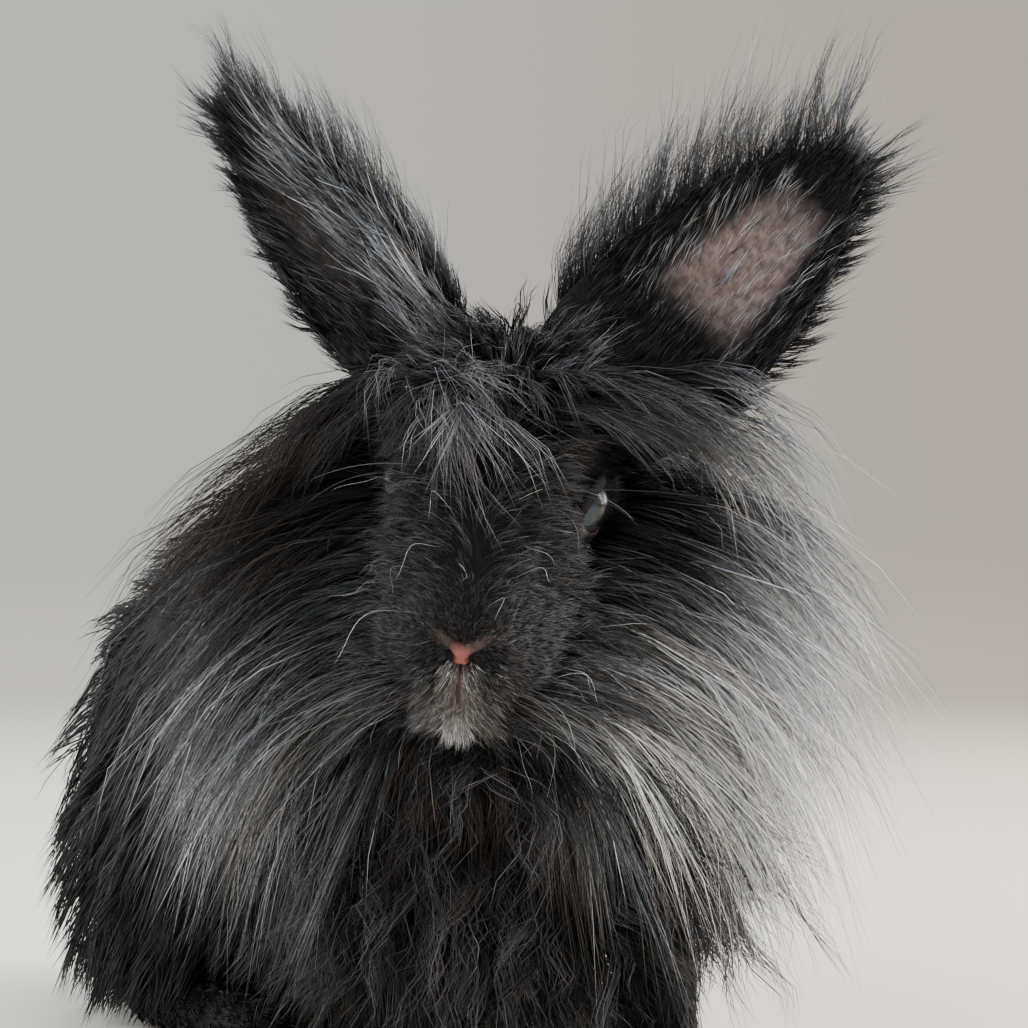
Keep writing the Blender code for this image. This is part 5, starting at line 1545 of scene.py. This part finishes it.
@dataclass
class EarCoat:
    """The fur of one ear: short outside, sparse in the cup, long on its inner edge and at its tip."""

    ear: Ear
    coat: Coat
    back_count: int = 3200
    rim_count: int = 1500
    cup_count: int = 700
    fringe_count: int = 2000

    def hair(
        self, share: Array, spread: Array, front: bool, start: Array, end: Array, length: Array,
        dark: Colour, pale: Colour, width: float, wave: float,
    ) -> Hair:
        """Hairs on one face of the ear.

        Args:
            share: places from root to tip.
            spread: places across, from -1 to 1.
            front: whether they stand in the cup.
            start: first directions, across, back and up in the ear's frame, and out of the skin.
            end: last directions, across, back and up.
            length: millimetres.
            dark: the colour of the roots.
            pale: the colour of the tips.
            width: millimetres.
            wave: how far they wave, in millimetres.

        Returns:
            The hairs.
        """
        count = len(share)
        points, out = self.ear.at(share, spread, front)
        near, _, _ = self.coat.probe.nearest(points)
        turn = self.ear.turn
        first = start[:, :3] @ turn.T + out * start[:, 3:4]
        unwrap = stacked(count, np.clip(share, 0, 1), (spread + 1) / 2)
        looks = (stacked(count, *dark), stacked(count, *pale), *stacked(count, width, wave, PALE_FROM).T)
        return Hair(near, out, unit(first), unit(end @ turn.T), length, unwrap, *looks)

    def build(self) -> None:
        """Mesh the short hair, then the long."""
        word = self.ear.side.word
        short = Hair.joined([self.back(), self.rim(), self.cup()])
        self.coat.mesh(f"ear_fur_{word}", short, EAR_HABIT, Slot.EAR)
        sign = self.ear.side.value
        inner, flare = (40.0, 0.8) if self.ear.side is Side.LEFT else (26.0, 0.3)
        groups = [self.fringe(-sign, 0.75, inner, flare), self.fringe(sign, 0.2, 12.0, 0.3), self.tip_tuft()]
        if self.ear.side is Side.RIGHT:
            groups.append(self.veil())
        self.coat.mesh(f"ear_fringe_{word}", Hair.joined(groups), FRINGE_HABIT, Slot.EAR)

    def back(self) -> Hair:
        """Short hair over the whole back."""
        draw, count = self.coat.draw, self.back_count
        share, spread = draw.uniform(0.10, 1.0, count), draw.uniform(-1.0, 1.0, count)
        start = stacked(count, 0.5 * spread, 0.1, 1.0, 0.35)
        end = stacked(count, 0.3 * spread, 0.0, 1.0)
        reach = 11.0 + 5.0 * draw.random(count)
        return self.hair(share, spread, False, start, end, reach, BLACK, CHARCOAL, 0.40, 0.2)

    def rim(self) -> Hair:
        """Short hair on the front, along the edges and over the root and the tip."""
        draw, count = self.coat.draw, self.rim_count
        share = draw.uniform(0.16, 1.0, count)
        spread = np.sign(draw.uniform(-1, 1, count)) * draw.uniform(0.52, 1.0, count)
        hollow = smoothstep(0.30, 0.40, share) * (1 - smoothstep(0.78, 0.88, share))
        spread *= np.where(hollow < 0.5, draw.uniform(0.0, 1.0, count), 1.0)
        start = stacked(count, 0.15 * spread, -0.2, 1.0, 0.25)
        end = stacked(count, -0.1 * spread, 0.0, 1.0)
        reach = 7.0 + 5.0 * draw.random(count)
        return self.hair(share, spread, True, start, end, reach, BLACK, CHARCOAL, 0.36, 0.15)

    def cup(self) -> Hair:
        """Sparse fine hair in the cup, its tips painted lighter (silver) in the ear that faces the light and
        grey in the other.
        """
        draw, count = self.coat.draw, self.cup_count
        share, spread = draw.uniform(0.30, 0.80, count), draw.uniform(-0.6, 0.6, count)
        start = stacked(count, 0.6 * spread, -0.3, 1.0, 0.4)
        end = stacked(count, 0.3 * spread, -0.3, 1.0)
        # painted light: silver tips in the ear that faces the light, grey in the other
        pale = SILVER if self.ear.side is Side.LEFT else GREY
        reach = 8.0 + 8.0 * draw.random(count)
        return self.hair(share, spread, True, start, end, reach, ASH, pale, 0.12, 0.4)

    def fringe(self, edge: float, part: float, length: float, flare: float) -> Hair:
        """Long hairs along one edge, swept outwards and up, mostly rooted on the ear's back near it."""
        draw, count = self.coat.draw, int(self.fringe_count * part)
        share = draw.uniform(0.16, 1.0, count)
        spread = edge * (1.0 - np.abs(draw.normal(0.0, 0.22, count)))
        start = stacked(count, edge * flare, draw.uniform(-0.1, 0.3, count), 0.9, 0.3)
        end = stacked(count, edge * 0.28 * flare, draw.uniform(-0.3, 0.0, count), 1.0)
        reach = length * draw.uniform(0.6, 1.15, count)
        return self.hair(share, np.clip(spread, -1, 1), False, start, end, reach, BLACK, GREY, 0.18, 0.9)

    def veil(self) -> Hair:
        """Long grey hairs that lie up over the inner half of the cup."""
        draw, count = self.coat.draw, int(self.fringe_count * 0.5)
        share = draw.uniform(0.04, 0.80, count)
        spread = -self.ear.side.value * draw.uniform(0.15, 1.0, count)
        start = stacked(count, 0.2 * spread, -0.35, 1.0, 0.2)
        end = stacked(count, draw.uniform(-0.1, 0.25, count) * spread, 0.05, 1.0)
        reach = 24.0 * draw.uniform(0.6, 1.1, count)
        return self.hair(share, spread, True, start, end, reach, CHARCOAL, VEIL_GREY, 0.20, 0.6)

    def tip_tuft(self) -> Hair:
        """Hairs that carry on past the tip."""
        draw, count = self.coat.draw, int(self.fringe_count * 0.2)
        share, spread = draw.uniform(0.88, 1.0, count), draw.uniform(-0.9, 0.9, count)
        start = stacked(count, 0.3 * spread, 0.1, 1.0, 0.2)
        end = stacked(count, 0.4 * spread, -0.1, 1.0)
        reach = 24.0 * draw.uniform(0.5, 1.1, count)
        return self.hair(share, spread, False, start, end, reach, CHARCOAL, GREY, 0.28, 0.6)


# The body's coat by surface; sideways is away from the middle line
RUFF_TOP = Growth(50, (0.35, 0.4, 0.8, 0.1), (0.30, 0.75, -0.55), BLACK, GREY, 0.40, 0.8)
RUFF_SIDE = Growth(64, (0.6, 0.7, 0.2, 0.1), (0.40, 0.20, -0.90), BLACK, GREY, 0.40, 0.8)
THROAT = Growth(58, (0.60, 0.25, -0.5, -0.4), (0.14, -0.20, -1.0), BLACK, ASH, 0.32, 2.6, 0.2)
BIB = Growth(40, (0.50, 0.45, -0.1, -0.6), (0.20, 0.02, -1.0), BLACK, ASH, 0.34, 2.4, 0.2)
BACK = Growth(25, (0.30, 0.05, 1.0, -0.05), (0.08, 1.0, -0.20), BLACK, CHARCOAL, 0.62, 0.5)
FLANK = Growth(30, (0.32, 0.05, 0.75, -0.7), (0.0, 0.55, -0.85), BLACK, CHARCOAL, 0.62, 0.7)
BELLY = Growth(30, (0.25, 0.4, 0.3, -0.5), (0.25, 0.3, -0.9), BLACK, UMBER, 0.62, 0.5)
RUMP = Growth(28, (0.34, 0.05, 0.6, -0.7), (0.0, 0.35, -0.95), BLACK, CHARCOAL, 0.62, 0.7)
THIGH = Growth(30, (0.34, 0.2, 0.4, -0.8), (0.10, 0.25, -1.0), BLACK, CHARCOAL, 0.60, 0.6)
ARM = Growth(13, (0.40, 0.1, 0.2, -0.8), (0.05, 0.1, -1.0), BLACK, CHARCOAL, 0.60, 0.3)
SHOULDER = Growth(30, (0.5, 0.7, 0.0, -0.6), (0.20, 0.05, -1.0), BLACK, CHARCOAL, 0.50, 0.9)
FOOT = Growth(8, (0.32, 0.1, -0.9, -0.2), (0.05, -1.0, -0.25), BLACK, CHARCOAL, 0.60, 0.1)
TAIL = Growth(22, (0.45, 0.3, 0.5, 0.1), (0.15, 0.40, -0.70), BLACK, CHARCOAL, 0.45, 0.8)


@dataclass
class BodyCoat:
    """The coat behind the head: ruff, bib, back, flanks, legs and tail."""

    anatomy: Anatomy
    coat: Coat
    ruff_count: int = 3000
    chest_count: int = 5200
    trunk_count: int = 11200
    thigh_count: int = 3600
    leg_count: int = 2800
    tail_count: int = 1000

    def scattered(
        self, surface: Rings, count: int, rows: Growth | Callable, span: tuple, arc: tuple = ALL_ROUND,
        reach: float = NEAR_SKIN,
    ) -> Hair:
        """Hairs over part of a surface; rows may be a function of places along and of angles in degrees."""
        along, angle = surface.scatter(count, self.coat.draw, span, arc)
        if isinstance(rows, Growth):
            table = np.tile(rows.row(), (len(along), 1))
        else:
            table = rows(along, np.degrees(np.abs(angle)))
        return grown(surface, self.coat.probe, along, angle, table, np.eye(3), span, arc, reach)

    @staticmethod
    def ruff_rows(along: Array, angle: Array) -> Array:
        """The neck's ruff: swept back on top, hanging at the sides."""
        return blend(RUFF_TOP.row(), RUFF_SIDE.row(), smoothstep(35.0, 80.0, angle))

    @staticmethod
    def chest_rows(along: Array, angle: Array) -> Array:
        """The front of the torso: long over the throat, a little shorter lower down."""
        lower = np.maximum(smoothstep(0.06, 0.20, along), smoothstep(95.0, 150.0, angle))
        return blend(THROAT.row(), BIB.row(), lower)

    @staticmethod
    def trunk_rows(along: Array, angle: Array) -> Array:
        """The rest of the torso: back, flanks, belly and rump."""
        rows = blend(BACK.row(), FLANK.row(), smoothstep(30.0, 75.0, angle))
        rows = blend(rows, BELLY.row(), smoothstep(125.0, 160.0, angle))
        rows = blend(rows, RUMP.row(), smoothstep(0.80, 0.95, along) * (1 - smoothstep(130.0, 160.0, angle)))
        front = 1 - smoothstep(0.20, 0.34, along)
        return blend(rows, BIB.row(), front * smoothstep(30.0, 80.0, angle))

    @staticmethod
    def arm_rows(along: Array, angle: Array) -> Array:
        """The forelegs: long at the shoulder, short down the leg."""
        return blend(SHOULDER.row(), ARM.row(), smoothstep(0.25, 0.60, along))

    def build(self) -> None:
        """Mesh the body's hair in pieces."""
        body, mesh = self.anatomy, self.coat.mesh
        ruff = self.scattered(body.neck, self.ruff_count, self.ruff_rows, (0.0, 0.95), (-125.0, 125.0), 5.0)
        mesh("coat_ruff", ruff, RUFF_HABIT, Slot.MANE)
        chest = self.scattered(body.torso, self.chest_count, self.chest_rows, (0.0, 0.26), ALL_ROUND, 5.0)
        mesh("coat_chest", chest, WAVY_HABIT)
        for side in Side:
            arc = (0.0, 180.0) if side is Side.LEFT else (-180.0, 0.0)
            flank = Hair.joined([
                self.scattered(body.torso, self.trunk_count // 2, self.trunk_rows, (0.24, 1.0), arc),
                self.scattered(body.thighs[side], self.thigh_count, THIGH, (0.02, 0.98)),
            ])
            mesh(f"coat_side_{side.word}", flank, SIDE_HABIT)
            arm, foot = body.arms[side], body.feet[side]
            legs = Hair.joined([
                self.scattered(arm, self.leg_count, self.arm_rows, (0.05, 0.8), ALL_ROUND, 4.0),
                self.scattered(arm, self.leg_count // 3, FOOT, (0.78, 1.0)),
                self.scattered(foot, self.leg_count, FOOT, (0.0, 1.0)),
            ])
            mesh(f"coat_legs_{side.word}", legs.kept(legs.out[:, 2] > -0.8), LEG_HABIT)
        tail = self.scattered(body.tail, self.tail_count, TAIL, (0.05, 1.0))
        mesh("coat_tail", tail, TAIL_HABIT, Slot.TAIL)


# The eye's colours: pupil, and iris and rim above and below; the bluish tint above is a painted reflection,
# the brown below their own colour
PUPIL = (0.002, 0.002, 0.003)
IRIS_REFLECTION_BLUE, IRIS_BROWN = (0.014, 0.028, 0.040), (0.048, 0.016, 0.008)
RIM_REFLECTION_BLUE, RIM_BROWN = (0.014, 0.030, 0.042), (0.032, 0.012, 0.008)


@dataclass
class Eye:
    """One eyeball with its iris and pupil, and the lids round it."""

    side: Side
    iris_radius: float = 7.3
    pupil_radius: float = 4.4
    lid_half_length: float = 7.2
    lid_half_height: float = 5.7
    lid_thickness: float = 1.0
    gaze_turn: float = -12.0

    @property
    def turn(self) -> Array:
        """The eye's outwards, back and up as columns in the head's frame."""
        return turn_about("Z", self.side.value * self.gaze_turn)

    def placed(self, local: Array) -> Array:
        """Points given for a left eye about its middle, as points over the floor."""
        mirrored = local * (self.side.value, 1.0, 1.0)
        return from_head(mirrored @ self.turn.T + self.side.mirrored(EYE_CENTRE))

    def ball(self, finish: Material) -> None:
        """A ball along the gaze, swelling slightly to the cornea and coloured by the angle from the gaze,
        bluish above as a painted reflection.
        """
        rings, around = 72, 72
        bend = np.linspace(0.0, math.pi, rings + 2)[1:-1]
        angle = np.linspace(0.0, FULL_TURN, around, False)
        swell = EYE_RADIUS - 0.1 + 0.55 * np.exp(-((bend / 0.62) ** 4))
        x = np.repeat((swell * np.cos(bend))[:, None], around, axis=1)
        y = np.outer(swell * np.sin(bend), np.cos(angle))
        z = np.outer(swell * np.sin(bend), np.sin(angle))
        poles = [(swell[0], 0.0, 0.0), (-swell[-1], 0.0, 0.0)]
        local = np.vstack([np.stack([x, y, z], axis=-1).reshape(-1, 3), poles])
        off_axis = np.hypot(local[:, 1], local[:, 2])
        off_axis[local[:, 0] < 0] = EYE_RADIUS
        round_gaze = np.arctan2(local[:, 2], local[:, 1])
        streak = 0.75 + 0.5 * np.abs(np.sin(23.0 * round_gaze + np.sin(local[:, 1] * 3)))
        # painted reflection: the iris and the rim turn bluish above and keep their brown below
        low = smoothstep(-1.5, -4.5, local[:, 2])
        iris = blend(IRIS_REFLECTION_BLUE, IRIS_BROWN, low) * streak[:, None]
        colours = blend(PUPIL, iris, smoothstep(-0.3, 0.3, off_axis - self.pupil_radius))
        white = blend(RIM_REFLECTION_BLUE, RIM_BROWN, low)
        colours = blend(colours, white, smoothstep(-0.2, 0.5, off_axis - self.iris_radius))
        points, faces = outwards(self.placed(local), closed_faces(rings, around))
        made = make_piece(f"eyeball_{self.side.word}", points, faces, finish, Slot.EYE, colours)
        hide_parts(f"eye_{self.side.word}")

    def lids(self, finish: Material) -> None:
        """A ridge round the opening: an oval section carried round an almond on the eyeball.

        The almond is y = A cos, z = B sin |sin|^0.15, and lies as high as the eyeball there. The upper lid is
        thicker than the lower, and the front corner is pale.
        """
        around, section = 120, 16
        angle = np.linspace(0.0, FULL_TURN, around, False)[:, None]
        turn = np.linspace(0.0, FULL_TURN, section, False)[None, :]
        upper = smoothstep(-0.2, 0.6, np.sin(angle))
        thick = self.lid_thickness * (0.85 + 0.35 * upper)
        spread = thick * 1.25 * np.cos(turn)
        y = np.cos(angle) * (self.lid_half_length + thick + spread)
        height = self.lid_half_height + thick + spread
        z = np.sin(angle) * np.abs(np.sin(angle)) ** 0.15 * height
        rim = np.hypot(np.cos(angle) * self.lid_half_length, np.sin(angle) * self.lid_half_height)
        level = np.sqrt(np.maximum((EYE_RADIUS + 0.3) ** 2 - rim**2, 4.0))
        x = level + thick * 0.75 * np.sin(turn) - 0.42 * (spread + thick) + 0 * angle
        local = np.stack(np.broadcast_arrays(x, y, z), axis=-1).reshape(-1, 3)
        corner = np.array((self.lid_half_length, 2.5))
        pale = np.exp(-np.sum((local[:, 1:] + corner) ** 2, axis=1) / 3.0)
        colours = blend(np.tile(PALETTE.hide, (len(local), 1)) * 0.6, (0.20, 0.18, 0.18), pale * 0.6)
        points, faces = outwards(self.placed(local), torus_faces(around, section))
        make_piece(f"lids_{self.side.word}", points, faces, finish, Slot.LID, colours)


# The nose's arms rise by an angle in degrees
WING_ANGLE = 32.0
WING_LENGTH = 8.6
LIP_SKIN = (0.085, 0.058, 0.053)


@dataclass
class Muzzle:
    """Nose, nostrils, the slit under it, lips and the front of the chin, as one relief over the skin.

    Each vertex starts where a line along the head meets the skin and is raised by a sum of bells, ridges and
    grooves; the relief's edge sinks into the skin.
    """

    probe: Probe
    half_width: float = 13.0
    top: float = -3.0
    bottom: float = -40.0
    step: float = 0.28

    @staticmethod
    def along_segment(x: Array, z: Array, start: tuple, end: tuple) -> tuple[Array, Array]:
        """The distance of points to a segment, and their share along it."""
        ax, az = end[0] - start[0], end[1] - start[1]
        share = np.clip(((x - start[0]) * ax + (z - start[1]) * az) / (ax * ax + az * az), 0.0, 1.0)
        return np.hypot(x - start[0] - share * ax, z - start[1] - share * az), share

    @staticmethod
    def parts(x: Array, z: Array) -> tuple[Array, Array, Array, Array]:
        """How much of a place is lip, chin, nose wing and nose tip, each from 0 to 1."""
        across = np.abs(x)
        lips = np.exp(-((np.maximum(across - 2.0, 0.0) / 2.6) ** 2 + ((z + 24.0) / 6.8) ** 2))
        chin = np.exp(-((across / 3.6) ** 2 + ((z + 34.0) / 3.0) ** 2))
        slope = math.radians(WING_ANGLE)
        tip = (1.2 + WING_LENGTH * math.cos(slope), -12.6 + WING_LENGTH * math.sin(slope))
        away, share = Muzzle.along_segment(across, z, (1.2, -12.6), tip)
        wing = np.exp(-((away / (1.7 - 0.6 * share)) ** 2)) * (1 - 0.75 * share**1.5)
        pad = np.exp(-((across / 2.1) ** 4 + ((z + 14.0) / 2.6) ** 4))
        return lips, chin, wing, pad

    @staticmethod
    def leather(x: Array, z: Array) -> Array:
        """How bare of hair a place on the front of the muzzle is, from 0 to 1."""
        lips, chin, wing, pad = Muzzle.parts(x, z)
        slit = (np.abs(x) < 0.5) & (z < -15.0) & (z > -30.0)
        return np.clip(np.maximum(np.maximum(0.57 * lips, 0.8 * wing), np.maximum(pad, slit)), 0.0, 1.0)

    def features(self, x: Array, z: Array) -> tuple[Array, Array]:
        """Height over the skin and colour at places on the front of the face; the nostrils, the slit and the
        mouth are grooves painted dark as the shade in them.
        """
        across = np.abs(x)
        lips, chin, wing, pad = self.parts(x, z)
        height = 0.8 * lips + 0.6 * chin + 0.8 * wing + 1.2 * pad
        colours = np.tile(PALETTE.hide, (*x.shape, 1)) * 1.4
        colours = blend(colours, LIP_SKIN, np.clip(lips * 1.2, 0, 1))
        colours = blend(colours, PALETTE.white, 0.5 * chin)
        colours = blend(colours, np.multiply(PALETTE.tan, 0.8), np.clip(1.15 * wing, 0, 1))
        colours = blend(colours, PALETTE.pink, np.clip(1.2 * pad, 0, 1))
        # painted shade: the nostril grooves are painted near black
        away, share = self.along_segment(across, z, (2.3, -14.9), (7.2, -11.4))
        nostril = np.exp(-((away / (0.95 - 0.45 * share)) ** 2))
        height -= 2.2 * nostril * (1 - 0.4 * share)
        colours = blend(colours, (0.010, 0.004, 0.004), nostril)
        # painted shade: the slit's groove is painted darker
        slit = np.exp(-((across / 0.38) ** 2)) * smoothstep(-30.0, -27.5, z)
        slit = slit * (1 - smoothstep(-18.0, -16.3, z))
        height -= 0.9 * slit
        colours = blend(colours, (0.085, 0.026, 0.022), 0.9 * slit)
        # painted shade: the mouth's line is painted dark
        away, share = self.along_segment(across, z, (0.0, -30.0), (8.0, -34.0))
        mouth = np.exp(-((away / 0.5) ** 2))
        height -= 0.3 * mouth
        return height, blend(colours, (0.04, 0.018, 0.016), 0.7 * mouth)

    def build(self, finish: Material) -> None:
        """Set the relief on the skin and give it a back."""
        x = np.arange(-self.half_width, self.half_width + self.step, self.step)
        z = np.arange(self.bottom, self.top, self.step)
        grid_x, grid_z = np.meshgrid(x, z, indexing="ij")
        origins = from_head(stacked(grid_x.size, grid_x.ravel(), BEFORE_FACE, grid_z.ravel()))
        skin, out = self.probe.ahead(origins, HEAD_TURN[:, 1])
        height, colours = self.features(grid_x, grid_z)
        edge = smoothstep(0.16, 0.50, np.max(np.stack(self.parts(grid_x, grid_z)), axis=0))
        lift = (0.3 + height) * edge - 1.0 * (1 - edge)
        front = skin + out * lift.reshape(-1, 1)
        back = skin - out * 2.6
        rows, columns = grid_x.shape
        r, c = np.meshgrid(np.arange(rows - 1), np.arange(columns - 1), indexing="ij")
        a = r * columns + c
        b, d = a + 1, a + columns
        sheet = np.stack([a, b, d + 1, a, d + 1, d], axis=-1).reshape(-1, 3)
        rim = np.concatenate([
            np.arange(columns), np.arange(1, rows) * columns + columns - 1,
            (rows - 1) * columns + np.arange(columns - 2, -1, -1), np.arange(rows - 2, 0, -1) * columns,
        ])
        after, count = np.roll(rim, -1), rows * columns
        wall = np.stack([after, rim, rim + count, after, rim + count, after + count], axis=-1).reshape(-1, 3)
        points, faces = outwards(np.vstack([front, back]), np.vstack([sheet, sheet[:, ::-1] + count, wall]))
        both = np.vstack([colours.reshape(-1, 3)] * 2)
        make_piece("muzzle_relief", points, faces, finish, Slot.LEATHER, both)


@dataclass
class Whiskers:
    """Long tapered bristles on the lips, over the eyes and on the cheeks."""

    anatomy: Anatomy
    draw: np.random.Generator
    count: int = 14

    def build(self, finish: Material) -> None:
        """Mesh all the whiskers, which droop to the tip."""
        shells, tints = [], []
        steps = np.repeat(np.linspace(0.0, 1.0, 13), 5)
        for side in Side:
            along = self.both((0.05, 0.16), (0.47, 0.52))
            angle = self.both((96.0, 140.0), (32.0, 44.0))
            points, out = self.anatomy.head.at(along, np.radians(side.value * angle))
            lean = np.array((side.value, 0.25, 0.0)) @ HEAD_AXES.T
            start = unit(out * 0.9 + lean + self.draw.normal(0.0, 0.12, out.shape))
            end = unit(start + np.array((0.0, 0.2, -0.8)) + self.draw.normal(0.0, 0.3, out.shape))
            length = self.both((26.0, 62.0), (22.0, 34.0))
            for root, first, last, reach in zip(points, start, end, length):
                shells.append(self.bristle(root, first, last, reach))
                row = blend((0.04, 0.035, 0.035), (self.draw.uniform(0.05, 0.5),) * 3, steps)
                tints.append(np.vstack([row, row[:1], row[-1:]]))
        points, faces = merged(shells)
        make_piece("whiskers", points, faces, finish, Slot.WHISKER, np.vstack(tints))

    def both(self, lip: tuple, brow: tuple) -> Array:
        """Draws between two bounds for the whiskers of the lip, then for the three over the eye."""
        return np.concatenate([self.draw.uniform(*lip, self.count), self.draw.uniform(*brow, 3)])

    @staticmethod
    def bristle(root: Array, start: Array, end: Array, length: float) -> tuple[Array, Array]:
        """One bristle: five-sided rings that narrow along root + L (start (t - t^2/2) + end t^2/2)."""
        t = np.linspace(0.0, 1.0, 13)[:, None]
        line = root - start + length * (start * (t - t**2 / 2) + end * t**2 / 2)
        ahead = unit(np.gradient(line, axis=0))
        side = unit(np.cross(ahead, (0.1, 0.2, 1.0)))
        up = np.cross(side, ahead)
        radius = (0.075 * (1 - t) ** 0.7 + 0.012)[:, None]
        angle = np.linspace(0.0, FULL_TURN, 5, False)[None, :, None]
        rings = line[:, None] + radius * (np.cos(angle) * side[:, None] + np.sin(angle) * up[:, None])
        points = np.vstack([rings.reshape(-1, 3), line[0] - ahead[0] * 0.05, line[-1] + ahead[-1] * 0.1])
        return outwards(points, closed_faces(13, 5))


@dataclass
class Claws:
    """A curved claw at the end of each toe."""

    anatomy: Anatomy

    def build(self, finish: Material) -> None:
        """Mesh the claws: rings that shrink along a curve down to the floor."""
        shells = []
        for toe in self.anatomy.toes:
            root = toe.first + np.array((0.0, 1.0, 0.6))
            t = np.linspace(0.0, 1.0, 9)[:, None]
            line = root + np.array((0.0, -1.0, 0.0)) * 6.0 * t + np.array((0.0, 0.0, -1.0)) * 2.9 * t**2
            radius = 1.15 * (1 - t) ** 0.7 + 0.12
            angle = np.linspace(0.0, FULL_TURN, 10, False)[None, :, None]
            across = np.array((1.0, 0.0, 0.0))
            rings = line[:, None] + radius[:, None] * (
                0.8 * np.cos(angle) * across + np.sin(angle) * np.array((0.0, -0.3, 1.0))
            )
            points = np.vstack([rings.reshape(-1, 3), line[0], line[-1] + (0.0, -0.1, -0.05)])
            points[:, 2] = np.maximum(points[:, 2], 0.15)
            shells.append(outwards(points, closed_faces(9, 10)))
        points, faces = merged(shells)
        share = smoothstep(0.0, 1.0, (points[:, 1].max() - points[:, 1]) % 6.0 / 6.0)
        colours = blend((0.05, 0.04, 0.035), (0.16, 0.13, 0.11), share)
        make_piece("claws", points, faces, finish, Slot.CLAW, colours)


def main() -> None:
    """Build the studio, then the animal from the skin out."""
    draw = np.random.default_rng(SEED)
    studio = Studio()
    studio.camera()
    studio.sweep()
    studio.lights()
    anatomy = Anatomy()
    probe = Hide(anatomy).build()
    Muzzle(probe).build(LeatherFinish("nose_leather", 0.5, gloss=0.25).material())
    wet, lid = EyeFinish("wet_eye").material(), LeatherFinish("lid_skin", 0.6, gloss=0.15).material()
    for side in Side:
        eye = Eye(side)
        eye.ball(wet)
        eye.lids(lid)
    coat = Coat(probe, draw, HairFinish("hair").material())
    HeadCoat(anatomy, coat).build()
    BodyCoat(anatomy, coat).build()
    for ear in anatomy.ears.values():
        EarCoat(ear, coat).build()
    Whiskers(anatomy, draw).build(HairFinish("bristle", 0.35).material())
    Claws(anatomy).build(HornFinish("claw_horn").material())
    LOG.info("coat in all: %d triangles", coat.total)


if __name__ == "__main__":
    main()
